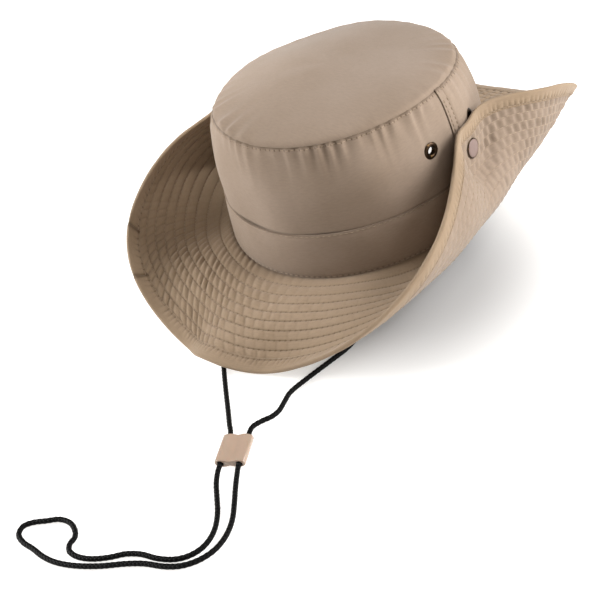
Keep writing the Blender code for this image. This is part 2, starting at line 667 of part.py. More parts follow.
def main():
    for thing in list(bpy.data.objects):
        bpy.data.objects.remove(thing)
    shift = standing_shift()
    floor_shift = shift * np.array([1.0, 1.0, 0.0])

    canvas = ("cotton canvas", "A8937B", 0.9)
    top = crown_top(shift)
    front = crown_panel("crown_front_panel", 0.0, shift)
    back = crown_panel("crown_back_panel", 180.0, shift)
    band = hat_band(shift)
    brim_cloth = brim_solid(shift)
    hem = binding_solid(shift)
    for side, word in ((1.0, "left"), (-1.0, "right")):
        for turn, panel, place in ((90 - EYELET_TURN, front, "front"),
                                   (90 + EYELET_TURN, back, "back")):
            ring, here, axis = eyelet("eyelet_%s_%s" % (word, place), side * turn, shift)
            paint(ring, "aged brass", "4A3626", 0.35, 1.0)
            drill(panel, here, axis, EYELET_BARREL + GAP, DRILL_REACH, shift)
        here, axis = snap_frame(side)
        drill(back, here, axis, SNAP_SHANK + SEAT, DRILL_REACH, shift)
        drill(brim_cloth, here + axis * SNAP_STAND, axis, SNAP_SHANK + SEAT,
              BRIM_CLOTH, shift)
        stud = snap_stud("snap_stud_%s" % word, side, shift)
        paint(stud, "snap metal", "8C8078", 0.35, 1.0)
        cap = snap_cap("snap_cap_%s" % word, side, shift)
        paint(cap, "snap enamel", "A08A80", 0.35)
    for thing in (top, front, back, band, brim_cloth, hem):
        paint(thing, *canvas)

    cord = chin_cord(floor_shift)
    paint(cord, "black braid", "101010", 0.8)
    slider = cord_slider(floor_shift)
    paint(slider, "beige slider", "D3BBA5", 0.45)


main()
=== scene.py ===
"""Looks of a cotton safari hat that lies on a floor, with its brim snapped up at both
sides and its chin cord laid out in front.

The hat stands in metres with its front toward -Y and its wearer's left toward +X. Angles
round the hat are counted from the front, with the wearer's left as plus. Every cloth is a
surface worked out on a grid of two parameters, closed with a plain back face.
"""
import math

import bmesh
import bpy
import numpy as np
from mathutils import Matrix, Vector


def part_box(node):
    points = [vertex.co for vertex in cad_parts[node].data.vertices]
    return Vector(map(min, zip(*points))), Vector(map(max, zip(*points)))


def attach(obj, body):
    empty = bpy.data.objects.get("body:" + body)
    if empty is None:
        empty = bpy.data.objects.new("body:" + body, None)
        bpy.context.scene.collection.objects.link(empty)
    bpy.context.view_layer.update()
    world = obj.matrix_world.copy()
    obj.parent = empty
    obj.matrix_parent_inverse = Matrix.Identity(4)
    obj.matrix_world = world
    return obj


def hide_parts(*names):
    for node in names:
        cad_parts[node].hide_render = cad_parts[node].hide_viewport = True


bl_info = {
    "name": "Safari hat",
    "version": (1, 0, 0),
    "blender": (4, 5, 0),
    "location": "3D View > Sidebar > Hat",
    "description": "Builds the cloth, stitching, metal and cord of a safari hat",
    "category": "Add Mesh",
}

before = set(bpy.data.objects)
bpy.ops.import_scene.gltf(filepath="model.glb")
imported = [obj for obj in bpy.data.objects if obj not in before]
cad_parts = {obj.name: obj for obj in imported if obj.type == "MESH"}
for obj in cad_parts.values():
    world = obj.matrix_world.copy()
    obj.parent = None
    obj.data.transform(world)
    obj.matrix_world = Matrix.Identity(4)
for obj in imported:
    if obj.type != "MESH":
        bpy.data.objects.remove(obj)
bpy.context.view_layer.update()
BODY = "root"

# Crown, in metres
GAP = 0.0003                 # space kept between two pieces
CLOTH = 0.0016               # crown cloth
BAND_CLOTH = 0.0012
BAND_HEIGHT = 0.032
BASE_HALF_LENGTH = 0.0958    # outer face of the crown wall at its foot, front to back
BASE_HALF_WIDTH = 0.0890     # the same, side to side
BASE_HEIGHT = 0.0197         # foot of the crown above the floor
BASE_TILT = -0.020           # rise of the foot per metre toward the back
BASE_SADDLE = 0.0027         # the foot is lifted at the sides and lowered front and back
TOP_HALF_LENGTH = 0.0840     # outer face at the top seam
TOP_HALF_WIDTH = 0.0771
TOP_HEIGHT = 0.1111          # top seam above the floor
TOP_TILT = -0.029            # rise of the top seam per metre toward the back
SLUMP_TURN = -94.0           # where the top seam sinks, in degrees from the front
SLUMP_SPREAD = 54.0          # degrees to each side over which it sinks
SLUMP = 0.0064               # how far it sinks
TOP_SADDLE = 0.0022          # the top seam's own lift at the sides
TOP_FORWARD = 0.0065         # the top seam stands this far in front of the foot
WALL_BULGE = 0.0030          # how far the cloth wall swells between foot and top seam
DOME_RISE = 0.0100           # middle of the top panel above the top seam
DRAPE = 0.00095              # height of the wall's broad upright drapes
GATHER = 0.00068             # height of the gathers that hang from the top seam
TOP_SAG = 0.0011             # depth of the top panel's soft hollows
TOP_PUCKER = 0.00140         # height of the top panel's puckers along its seam
TOP_ROLL = 0.0012            # how far the wall's top edge rolls in to the seam
BAND_DRAPE = 0.00045         # height of the band's broad drapes
FLANGE = 0.0032              # how far the wall runs inward under the top panel
FLANGE_DROP = 0.0006         # how far it falls on the way
SEAM_LAP = 0.0060            # how far the back panel laps over the side seam
SIDE_STITCHES = (0.0016, 0.0050)  # from the side seam to its two stitch rows

# Soft dents and swells of the crown wall: angle from the front in degrees, height as a
# share of the wall, half spread in degrees, half spread as a share of the wall's height,
# depth as a share of the wall bulge (a minus sign is a dent, a plus sign a swell)
DENTS = (
    (-62.0, 0.74, 13.0, 0.22, -0.70),
    (-30.0, 0.60, 17.0, 0.20, 0.40),
    (8.0, 0.78, 15.0, 0.16, -0.45),
    (47.0, 0.66, 15.0, 0.22, 0.45),
    (58.0, 0.86, 11.0, 0.12, -0.45),
    (128.0, 0.66, 14.0, 0.24, 0.45),
    (150.0, 0.60, 18.0, 0.24, -0.75),
    (-150.0, 0.66, 20.0, 0.22, 0.40),
    (-128.0, 0.76, 13.0, 0.18, -0.60),
)

# Where the gathers under the top seam and the puckers of the top panel are strong:
# angle from the front in degrees, half spread in degrees, strength
GATHER_PLACES = ((42.0, 40.0, 0.85), (-75.0, 35.0, 0.50), (160.0, 50.0, 0.40))
TOP_PUCKER_PLACES = ((-26.0, 24.0, 1.00), (118.0, 22.0, 0.50))

# The deepest hollow of the top panel: angle from the front in degrees, share of the
# radius, half spread in degrees and as a share of the radius, depth
HOLLOW_TURN = -118.0
HOLLOW_RADIUS = 0.82
HOLLOW_SPREAD = 30.0
HOLLOW_REACH = 0.22
HOLLOW = 0.0012

# Brim, in metres
BRIM_WIDTH = 0.0747          # from the band out to the edge, along the cloth
BRIM_CLOTH = 0.0020
HEM_WIDTH = 0.0100
HEM_START = 1.0 - HEM_WIDTH / BRIM_WIDTH      # share of the brim at the hem's inner edge
HEM_HALF = 0.00135           # half thickness of the folded hem
HEM_STITCH = 0.0014          # from the hem's inner edge to its stitches
HEM_DIP = 0.00040            # how far the stitches draw the hem in
HEM_JOINS = (-38.5, -45.0)   # where the hem steps up at a join, in degrees
HEM_STEP = 0.00045           # height of such a step
HEM_PUCKER = 0.00034         # height of the hem's puckers beside its stitches
# Where those puckers are strong: angle and half spread in degrees, strength
HEM_PLACES = ((135.0, 50.0, 0.65), (-60.0, 60.0, 0.30))
UNDER_BAND = -0.045          # share of the brim where its cloth ends under the band
SLOPE_AT = np.array([0.0, 0.38, 0.76, 1.0])   # shares of the brim width for the slopes

# Slope of the brim round the hat. Angle from the front; slope in degrees above level
# where the brim leaves the crown, at the fold, on the snap line and at the edge; and
# how far its run is swept toward the back. The other side of the hat mirrors this.
BRIM_COLUMNS = ("angle", "leave", "fold", "snap", "edge", "sweep")
BRIM_ROWS = np.array([
    (0.0, 2.0, -5.0, -17.0, -17.0, 0.0),
    (20.0, 5.0, -6.0, -32.0, -18.0, -24.0),
    (35.0, 0.0, 1.0, -13.0, 22.0, -26.0),
    (50.0, -18.0, 25.0, 52.0, 97.0, -5.0),
    (70.0, -3.0, 62.0, 112.0, 133.0, 8.0),
    (92.0, -5.0, 122.0, 100.0, 77.0, -3.0),
    (110.0, 5.0, 99.0, 108.0, 94.0, -12.0),
    (130.0, -8.0, 45.0, 81.0, 70.0, -3.0),
    (155.0, -11.0, -3.0, 21.0, 21.0, 2.0),
    (180.0, -10.0, -6.0, -14.0, -18.0, 0.0),
])

# Quilting of the brim: rows of stitches from the crown to the hem, and the puckers
# between them. Angle from the front; length of one pucker along the middle of the brim
# in millimetres; how strong the puckers are; how far they lean across a strip in turns
QUILT_FIRST = 0.120          # share of the brim width at the first row
QUILT_LAST = 0.800
QUILT_COUNT = 8
QUILT_CROWD = 0.86           # under 1, the rows come closer together toward the edge
QUILT_ROWS = np.array([
    (-180.0, 6.6, 0.80, 0.2),
    (-140.0, 6.4, 0.75, 0.3),
    (-105.0, 7.0, 0.05, 0.3),
    (-80.0, 6.8, 0.05, 0.5),
    (-62.0, 6.8, 0.10, 0.7),
    (-46.0, 6.6, 0.80, 0.7),
    (-30.0, 6.6, 1.05, 0.7),
    (-6.0, 6.6, 0.95, 0.6),
    (14.0, 7.0, 0.50, 0.4),
    (32.0, 7.6, 0.20, 0.2),
    (56.0, 7.6, 0.30, 0.1),
    (80.0, 6.6, 0.40, 0.1),
    (102.0, 6.0, 0.90, 0.1),
    (126.0, 5.8, 1.15, 0.1),
    (152.0, 6.0, 1.10, 0.1),
    (180.0, 6.6, 0.80, 0.1),
])
STEP_TURN = 126.0            # where the puckers of all strips are in step, in degrees
STEP_SPREAD = 55.0           # how far they stay nearly so
DEEP_TURN = -100.0           # where the quilting is deepest, in degrees
DEEP_SPREAD = 60.0           # how far that reaches
# How far across a strip the rows of the grid lie, closest beside the stitch rows
STRIP_PARTS = np.array([0.0, 0.06, 0.13, 0.23, 0.36, 0.50, 0.64, 0.77, 0.87, 0.94])
PILLOW = 0.00060             # how far the cloth sinks at a stitch row
GROOVE = 0.0007              # half width of the groove along a stitch row
PUCKER = 0.00068             # half height of puckers of strength one
SWAY = 0.0009                # height of the broad soft waves of the whole brim

# Stitches, eyelets and snaps, in metres
STITCH = 0.0026              # length of one stitch
STITCH_GAP = 0.0008          # from its end to the next one's start
THREAD = 0.00024             # half thickness of the thread
TOP_STITCH = 0.0018          # from the top seam down to the stitches on the wall
BAND_STITCH = 0.0016         # from the band's edges to the dips along its stitches
BAND_TOP_THREAD = 0.0009     # from the band's upper edge to the thread there
EYELET_TURN = 15.0           # degrees in front of and behind each side seam
EYELET_HEIGHT = 0.0610       # above the foot of the wall
EYELET_CUT = 0.0033          # radius of the hole in the cloth
CUT_REACH = 0.006            # half length of the tool that cuts it
SNAP_TURN = 95.0             # degrees from the front
SNAP_HEIGHT = 0.0455         # above the foot of the wall
SNAP_STAND = 0.0039          # brim cloth's middle in front of the wall at the snap
SNAP_FLAT = 0.0125           # radius of the brim pressed flat round the snap
SNAP_FADE = 0.0250           # radius where that flat has died out

# Chin cord and slider, in metres, with the cord's way in millimetres
CORD_RADIUS = 0.0015
BRAID_PITCH = 0.0030         # from one crossing of the strands to the next
SLIDER_LENGTH = 0.0200
SLIDER_WIDTH = 0.0175
SLIDER_THICK = 0.0056
SLIDER_SQUARE = 0.62         # exponent of its outline, which is an oval at 1
SLIDER_WAIST = 0.42          # share of its thickness that is missing at its waist
SLIDER_ROUNDING = 0.0007     # radius of the rounding at its ends
SLIDER_AT = (0.0570, -0.2168)
SLIDER_TURN = -65.0          # direction of its channels on the floor, degrees from +X
CHANNEL_SPREAD = 0.0054      # each channel's distance from the slider's middle
CHANNEL_RADIUS = 0.0020
CORD_TO_SLIDER = (
    (-87.0, -2.0, 21.2), (-87.0, -3.0, 15.0), (-86.5, -6.0, 8.0), (-85.0, -13.0, 3.5),
    (-82.0, -24.0, 1.6), (-73.0, -50.0, 1.6), (-58.0, -80.0, 1.6), (-41.0, -107.0, 1.6),
    (-22.0, -132.0, 1.6), (-7.0, -152.0, 1.6), (5.0, -166.0, 1.6), (19.0, -180.5, 1.6),
    (32.0, -193.5, 1.7), (40.5, -202.0, 2.3),
)
CORD_LOOP = (
    (58.5, -233.0, 2.3), (62.5, -239.0, 1.7), (69.0, -246.0, 1.6), (76.0, -253.5, 1.6),
    (81.5, -261.5, 1.6), (84.0, -268.5, 1.6), (84.0, -275.5, 1.6), (81.0, -282.0, 1.6),
    (75.5, -287.0, 1.6), (67.0, -290.5, 1.6), (57.0, -292.5, 1.6), (49.5, -296.0, 1.6),
    (43.0, -301.5, 1.6), (35.0, -306.5, 1.6), (27.0, -309.0, 1.6), (20.0, -308.5, 1.6),
    (16.5, -305.0, 1.6), (16.0, -301.0, 1.6), (12.5, -297.5, 1.6), (6.0, -295.0, 1.6),
    (-1.5, -296.0, 1.6), (-7.5, -300.0, 1.6), (-13.5, -304.0, 1.6), (-17.0, -308.5, 1.6),
    (-15.0, -313.5, 1.6), (-8.5, -316.0, 1.6), (0.0, -316.5, 1.6), (9.0, -317.5, 1.6),
    (18.0, -317.0, 1.6), (29.0, -314.0, 1.6), (42.0, -308.0, 1.6), (54.0, -300.5, 1.6),
    (63.0, -296.0, 1.6), (74.0, -292.5, 1.6), (82.0, -288.0, 1.6), (88.0, -281.0, 1.6),
    (91.0, -272.5, 1.6), (90.5, -263.5, 1.6), (87.0, -254.5, 1.6), (80.5, -245.0, 1.6),
    (74.5, -237.0, 1.7), (69.5, -229.5, 2.3),
)
CORD_FROM_SLIDER = (
    (54.8, -198.5, 2.3), (56.5, -192.0, 1.7), (59.5, -187.0, 1.6), (60.5, -181.5, 1.6),
    (59.0, -174.5, 1.6), (57.5, -167.0, 1.6), (60.0, -153.0, 1.6), (64.0, -136.0, 1.6),
    (67.0, -121.0, 1.6), (66.0, -105.0, 1.6), (63.5, -85.0, 1.6), (65.0, -62.0, 1.6),
    (70.0, -40.0, 1.6), (76.0, -23.0, 1.6), (81.5, -13.0, 3.0), (85.0, -7.5, 7.5),
    (86.6, -4.0, 13.0), (87.0, -2.0, 21.2),
)

# Columns of each cloth's grid, on its face and on its plain back
BRIM_GRID = (960, 240)
PANEL_GRID = (400, 80)
TOP_GRID = (640, 160)
BAND_GRID = (760, 152)
HEM_GRID = 1400

GOLDEN_TURN = 2.39996        # golden angle in radians, which keeps waves out of step

# Camera and floor
PICTURE = 600.0              # width and height of the picture in pixels
LINE_OF_SIGHT = (361.0, 163.5)    # pixel at which the camera looks at its target
FOCAL = 1191.7               # focal length in pixels
SENSOR = 36.0                # width of the camera's sensor in millimetres
TARGET = Vector((0.0, 0.0, 0.04))    # what the camera and the area lights look at
FLOOR_HALF = 6.0             # half the floor's width in metres
# The floor's dark spot is a painted shadow beside the hat, where the paper's glow is left out
SHADE_AT = (0.06, -0.055, 0.0)    # middle of the floor's dark spot
SHADE_INNER = 0.04           # radius where the paper's glow starts
SHADE_OUTER = 0.138          # radius where it is whole

# Area lights: name, azimuth from the front toward +X and height angle in degrees,
# distance from the target and width in metres
LAMPS = (
    ("right", 118.0, 29.0, 1.3, 0.8),
    ("over", 85.0, 58.0, 1.3, 0.6),
    ("left", -58.0, 24.0, 1.4, 0.7),
)

# Narrow light on the brim at the picture's left
SNOOT_TARGET = Vector((-0.115, 0.0, 0.03))
SNOOT_WAY = Vector((0.10, -0.25, 0.96))
SNOOT_DISTANCE = 1.2
SNOOT_SPREAD = 9.0           # whole angle of its cone in degrees
SNOOT_RADIUS = 0.06          # radius of its lamp, which softens its shadow


# Curves and the hat's base shapes

def through(x, xs, ys):
    """Smooth curve through the points (xs, ys): each piece is a cubic, and the slope at
    a point is that of the straight line between its two neighbours."""
    slope = np.empty(len(xs))
    slope[1:-1] = (ys[2:] - ys[:-2]) / (xs[2:] - xs[:-2])
    slope[0] = (ys[1] - ys[0]) / (xs[1] - xs[0])
    slope[-1] = (ys[-1] - ys[-2]) / (xs[-1] - xs[-2])
    i = np.clip(np.searchsorted(xs, x, side="right") - 1, 0, len(xs) - 2)
    h = xs[i + 1] - xs[i]
    t = (x - xs[i]) / h
    rise = slope[i] * h * t * (1 - t) ** 2 + slope[i + 1] * h * t * t * (t - 1)
    return ys[i] * (1 + 2 * t) * (1 - t) ** 2 + ys[i + 1] * t * t * (3 - 2 * t) + rise


def smooth(x):
    """Zero below 0, one above 1, and a smooth step between: 3 x squared - 2 x cubed."""
    x = np.clip(x, 0.0, 1.0)
    return x * x * (3 - 2 * x)


def round_hat(theta, column):
    """One column of the brim table at any angle round the hat. The rows are mirrored at
    the front and the back; the sweep changes its sign with the side."""
    sign = -1.0 if column == "sweep" else 1.0
    xs = BRIM_ROWS[:, 0]
    ys = BRIM_ROWS[:, BRIM_COLUMNS.index(column)]
    xs = np.concatenate([-xs[1:3][::-1], xs, 360.0 - xs[-3:-1][::-1]])
    ys = np.concatenate([sign * ys[1:3][::-1], ys, sign * ys[-3:-1][::-1]])
    value = through(np.degrees(np.abs(theta)), xs, ys)
    return np.sign(theta) * value if column == "sweep" else value


def oval(theta, half_length, half_width):
    """Ellipse in polar form: angle 0 is the front (-Y) and 90 degrees the side (+X)."""
    c = np.cos(theta)
    s = np.sin(theta)
    r = 1.0 / np.sqrt((s / half_width) ** 2 + (c / half_length) ** 2)
    return r * s, -r * c


def outward(theta):
    """Level unit normal of the foot oval at an angle, and its turn from the front."""
    x, y = oval(theta, BASE_HALF_LENGTH, BASE_HALF_WIDTH)
    turn = np.arctan2(x / BASE_HALF_WIDTH ** 2, -y / BASE_HALF_LENGTH ** 2)
    return np.stack([np.sin(turn), -np.cos(turn), 0.0 * turn], -1), turn


def wall(theta, share, out=0.0):
    """Outer face of the crown wall: straight lines from the foot oval to the top oval,
    swelled outward like half a sine wave that is fullest above mid-height, with the soft
    dents. Its upper part sinks where the crown has slumped. The last number moves it
    along the level normal."""
    theta, share = np.broadcast_arrays(np.asarray(theta, float), np.asarray(share, float))
    xb, yb = oval(theta, BASE_HALF_LENGTH, BASE_HALF_WIDTH)
    xt, yt = oval(theta, TOP_HALF_LENGTH, TOP_HALF_WIDTH)
    saddle = np.cos(2 * theta)
    base = np.stack([xb, yb, BASE_HEIGHT + BASE_TILT * yb - BASE_SADDLE * saddle], -1)
    top = np.stack([xt, yt - TOP_FORWARD, TOP_HEIGHT + TOP_TILT * yt - TOP_SADDLE * saddle], -1)
    normal, _ = outward(theta)
    inside = np.clip(share, 0, 1)
    swell = WALL_BULGE * np.sin(np.pi * inside ** 2) * (0.75 - 0.25 * np.cos(theta))
    degrees = np.degrees(theta)
    for angle, high, spread, tall, depth in DENTS:
        turn = (degrees - angle + 180.0) % 360.0 - 180.0
        dent = np.exp(-(turn / spread) ** 2 - ((share - high) / tall) ** 2)
        swell = swell + depth * WALL_BULGE * dent * np.clip((1 - share) / 0.1, 0, 1)
    points = base + (top - base) * share[..., None] + normal * (swell + out)[..., None]
    turn = (degrees - SLUMP_TURN + 180.0) % 360.0 - 180.0
    sunk = SLUMP * np.exp(-(turn / SLUMP_SPREAD) ** 4) * inside ** 3
    return points - sunk[..., None] * np.array([0.0, 0.0, 1.0])


# The hat's place in the frame, from the lowest corner of its band
FOOT = wall(np.arange(56) * math.tau / 56, 0.0, GAP + BAND_CLOTH)
SHIFT = np.array([
    0.0,
    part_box("hat_band")[0].y - FOOT[:, 1].min(),
    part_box("hat_band")[0].z - FOOT[:, 2].min(),
])
FLOOR_SHIFT = SHIFT * np.array([1.0, 1.0, 0.0])
WALL_HEIGHT = TOP_HEIGHT - BASE_HEIGHT


def wall_frame(turn_degrees, above_foot):
    """Point on the wall's outer face at a height above its foot, and the outward
    direction square to the wall there."""
    theta = math.radians(turn_degrees)
    share = above_foot / WALL_HEIGHT
    step = 0.01
    here = wall(theta, share)
    along = wall(theta + step, share) - wall(theta - step, share)
    up = wall(theta, share + step) - wall(theta, share - step)
    axis = np.cross(along, up)
    axis = axis / np.linalg.norm(axis)
    return here, axis * np.sign(axis[0] * math.sin(theta))


def press_flat(points):
    """Press the brim flat round both snaps: the distance from the plane through the snap
    fades in from the far radius and is fully taken away inside the near one."""
    for side in (1.0, -1.0):
        here, axis = wall_frame(side * SNAP_TURN, SNAP_HEIGHT)
        away = points - (here + axis * SNAP_STAND)
        height = away @ axis
        reach = np.linalg.norm(away - height[..., None] * axis, axis=-1)
        weight = smooth((SNAP_FADE - reach) / (SNAP_FADE - SNAP_FLAT))
        weight = np.where(np.abs(height) < 0.02, weight, 0.0)
        points = points - (weight * height)[..., None] * axis
    return points


def brim(theta, share):
    """Middle of the brim cloth: from the band outward, the cloth climbs with a slope
    that runs smoothly through the four slopes of the table, so every line across the
    brim keeps its real length; both snaps then press it flat. A share under 0 goes on
    straight under the band."""
    slopes = np.stack([np.radians(round_hat(theta, c)) for c in BRIM_COLUMNS[1:5]], 1)
    fine = np.linspace(0.0, 1.0, 121)
    basis = np.stack([through(fine, SLOPE_AT, row) for row in np.eye(4)])
    angle = slopes @ basis
    middle = 0.5 * (angle[:, 1:] + angle[:, :-1])
    step = BRIM_WIDTH * np.diff(fine)
    zero = np.zeros((len(theta), 1))
    run = np.concatenate([zero, np.cumsum(np.cos(middle) * step, 1)], 1)
    climb = np.concatenate([zero, np.cumsum(np.sin(middle) * step, 1)], 1)
    low = np.clip(np.searchsorted(fine, share, side="right") - 1, 0, len(fine) - 2)
    part = (share - fine[low]) / (fine[low + 1] - fine[low])
    run = run[:, low] + (run[:, low + 1] - run[:, low]) * part
    climb = climb[:, low] + (climb[:, low + 1] - climb[:, low]) * part
    _, turn = outward(theta)
    heading = (turn + np.radians(round_hat(theta, "sweep")))[:, None]
    start = wall(theta, 0.0, GAP + BAND_CLOTH + GAP)[:, None]
    way = np.stack([run * np.sin(heading), -run * np.cos(heading), climb], -1)
    return press_flat(start + way)


def stations():
    """Angles round the hat that share out the brim's edge and foot evenly: equal steps
    of the mean of both lengths. Returns the places (0 to 1), their angles and the
    length round the middle of the brim."""
    fine = np.radians(np.linspace(-180.0, 180.0, 1441))
    lines = brim(fine, np.array([0.0, 1.0]))
    steps = np.linalg.norm(np.diff(lines, axis=0), axis=2).mean(axis=1)
    along = np.concatenate([[0.0], np.cumsum(steps)])
    return along / along[-1], fine, along[-1]


PLACES, PLACE_ANGLES, BRIM_ROUND = stations()


def angle_at(place):
    """Angle at a place round the brim, on straight lines between the stations."""
    return np.interp(place, PLACES, PLACE_ANGLES)


def place_at(degrees):
    """Place round the brim at an angle, the other way round."""
    return np.interp(math.radians(degrees), PLACE_ANGLES, PLACES)


def waves(x, y, seed):
    """Soft uneven waves of about unit height: the sum of seven sine waves whose
    directions turn by the golden angle and whose lengths grow shorter one by one."""
    total = 0.0
    for k in range(7):
        turn = GOLDEN_TURN * k + seed
        pitch = 0.7 + 0.23 * k
        total = total + np.sin(pitch * (x * math.cos(turn) + y * math.sin(turn)) + 4.1 * turn)
    return total / 2.65


def ring_waves(turn, other, reach, seed):
    """Soft waves round the hat that close on themselves: the turn is laid on a circle of
    the given radius, so a larger one gives shorter waves."""
    return waves(reach * np.sin(turn) + other, reach * np.cos(turn) - 0.7 * other, seed)


def gentle(degrees, middle, spread):
    """Bell curve round the hat, from the shorter way round to its middle."""
    away = (degrees - middle + 180.0) % 360.0 - 180.0
    return np.exp(-(away / spread) ** 2)


def strength(degrees, base, places):
    """Strength of a relief round the hat: a base value and a bell curve for each place."""
    total = base
    for middle, spread, height in places:
        total = total + height * gentle(degrees, middle, spread)
    return total


# Mesh builders

def grid_normals(points, closed):
    """Unit normals of a grid from the steps to the neighbours along both directions, on
    the side that faces up for a flat brim and inward for an upright wall."""
    if closed:
        along = np.roll(points, -1, 0) - np.roll(points, 1, 0)
    else:
        along = np.gradient(points, axis=0)
    normal = np.cross(np.gradient(points, axis=1), along)
    return normal / np.linalg.norm(normal, axis=-1, keepdims=True)


def grid_cells(n, m, closed, start=0):
    """Four-sided cells of a grid of n columns and m rows, whose points are numbered
    column by column."""
    i = np.arange(n if closed else n - 1)[:, None]
    k = np.arange(m - 1)[None]
    j = (i + 1) % n
    return np.stack([i * m + k, j * m + k, j * m + k + 1, i * m + k + 1], -1).reshape(-1, 4) + start


def closing_cells(n, m):
    """Four-sided cells that join the last row of a round grid to its first one."""
    i = np.arange(n)
    j = (i + 1) % n
    return np.stack([i * m + m - 1, j * m + m - 1, j * m, i * m], 1)


def zipper(line, other, keys, other_keys):
    """Triangles between two border lines with any two numbers of points: the steps of
    both lines are taken in the order of their places."""
    middle = 0.5 * (keys[1:] + keys[:-1])
    other_middle = 0.5 * (other_keys[1:] + other_keys[:-1])
    beside = np.searchsorted(other_middle, middle)
    other_beside = np.searchsorted(middle, other_middle, side="right")
    first = np.stack([line[:-1], line[1:], other[beside]], 1)
    second = np.stack([other[1:], other[:-1], line[other_beside]], 1)
    return np.concatenate([first, second])


def make_piece(name, vertices, faces, uv=None, shade=None, seam=None, flat=False):
    """Mesh object from arrays: the faces are a list of arrays of three or four corners,
    the UVs are one pair for each point. The shade is 1 on open cloth and less in its
    grooves, and the seam is 1 along a row of stitches."""
    mesh = bpy.data.meshes.new(name)
    vertices = np.asarray(vertices, float)
    mesh.vertices.add(len(vertices))
    mesh.vertices.foreach_set("co", vertices.ravel())
    corners = np.concatenate([f.ravel() for f in faces])
    sizes = np.concatenate([np.full(len(f), f.shape[1]) for f in faces])
    starts = np.concatenate([[0], np.cumsum(sizes)[:-1]])
    mesh.loops.add(len(corners))
    mesh.loops.foreach_set("vertex_index", corners.astype(np.int32))
    mesh.polygons.add(len(sizes))
    mesh.polygons.foreach_set("loop_start", starts.astype(np.int32))
    mesh.update(calc_edges=True)
    if uv is not None:
        layer = mesh.uv_layers.new(name="cloth")
        layer.data.foreach_set("uv", np.asarray(uv, float)[corners].ravel())
    for title, values in (("shade", shade), ("seam", seam)):
        if values is not None:
            attribute = mesh.attributes.new(title, "FLOAT", "POINT")
            attribute.data.foreach_set("value", np.asarray(values, float).ravel())
    work = bmesh.new()
    work.from_mesh(mesh)
    bmesh.ops.recalc_face_normals(work, faces=work.faces)
    work.to_mesh(mesh)
    work.free()
    mesh.validate()
    if not flat:
        mesh.shade_smooth()
        mesh.set_sharp_from_angle(angle=math.radians(50))
    piece = bpy.data.objects.new(name, mesh)
    bpy.context.scene.collection.objects.link(piece)
    return piece


def shell(name, face, back, face_keys, back_keys, closed, uv, shade, seam):
    """Closed cloth wall: a fine face grid and a plain back grid, joined at their borders.
    The keys are the places of each grid's columns and rows. The UVs are in metres on the
    face and shared by the back."""
    n, m = face.shape[:2]
    p, q = back.shape[:2]
    size = n * m
    a = np.arange(size).reshape(n, m)
    b = np.arange(p * q).reshape(p, q) + size
    cells = [grid_cells(n, m, closed), grid_cells(p, q, closed, size)]
    columns, rows = face_keys
    back_columns, back_rows = back_keys
    if closed:
        a = np.concatenate([a, a[:1]])
        b = np.concatenate([b, b[:1]])
        columns = np.append(columns, 1.0)
        back_columns = np.append(back_columns, 1.0)
    for k in (0, -1):
        cells.append(zipper(a[:, k], b[:, k], columns, back_columns))
        if not closed:
            cells.append(zipper(a[k], b[k], rows, back_rows))
    vertices = np.concatenate([face.reshape(-1, 3), back.reshape(-1, 3)]) + SHIFT
    back_uv = np.stack(np.meshgrid(
        np.interp(back_keys[0], face_keys[0], uv[:, 0, 0]),
        np.interp(back_keys[1], face_keys[1], uv[0, :, 1]), indexing="ij"), -1)
    both = np.concatenate([uv.reshape(-1, 2), back_uv.reshape(-1, 2)])
    shade = np.concatenate([shade.ravel(), np.ones(p * q)])
    seam = np.concatenate([seam.ravel(), np.zeros(p * q)])
    return make_piece(name, vertices, cells, both, shade, seam)


def turned(name, profile, centre, axis, sides, ring=False):
    """A part turned round an axis from (radius, height) points. A ring's profile is
    closed; any other one starts and ends on the axis."""
    first = np.cross(axis, np.array([0.0, 0.0, 1.0]))
    first = first / np.linalg.norm(first)
    second = np.cross(axis, first)
    turn = np.arange(sides) * math.tau / sides
    spoke = np.cos(turn)[:, None] * first + np.sin(turn)[:, None] * second
    profile = np.asarray(profile, float)
    body = profile if ring else profile[1:-1]
    grid = centre + spoke[:, None] * body[None, :, 0:1] + body[None, :, 1:2] * axis
    n, m = grid.shape[:2]
    vertices = grid.reshape(-1, 3)
    faces = [grid_cells(n, m, True)]
    if ring:
        faces.append(closing_cells(n, m))
    else:
        i = np.arange(n)
        j = (i + 1) % n
        ends = np.array([centre + profile[0, 1] * axis, centre + profile[-1, 1] * axis])
        vertices = np.concatenate([vertices, ends])
        faces.append(np.stack([np.full(n, n * m), i * m, j * m], 1))
        faces.append(np.stack([np.full(n, n * m + 1), j * m + m - 1, i * m + m - 1], 1))
    return make_piece(name, vertices + SHIFT, faces)


def rounded(points, radius, steps=4):
    """Round the corners of a (radius, height) profile: each inner corner becomes a
    curve of the given size, a quadratic one whose handle is the corner."""
    points = np.asarray(points, float)
    out = [points[0]]
    for before, corner, after in zip(points[:-2], points[1:-1], points[2:]):
        back = before - corner
        on = after - corner
        reach = min(radius, 0.45 * np.linalg.norm(back), 0.45 * np.linalg.norm(on))
        start = corner + back / np.linalg.norm(back) * reach
        end = corner + on / np.linalg.norm(on) * reach
        t = np.linspace(0.0, 1.0, steps + 1)[:, None]
        out.extend((1 - t) ** 2 * start + 2 * t * (1 - t) * corner + t * t * end)
    out.append(points[-1])
    return np.array(out)


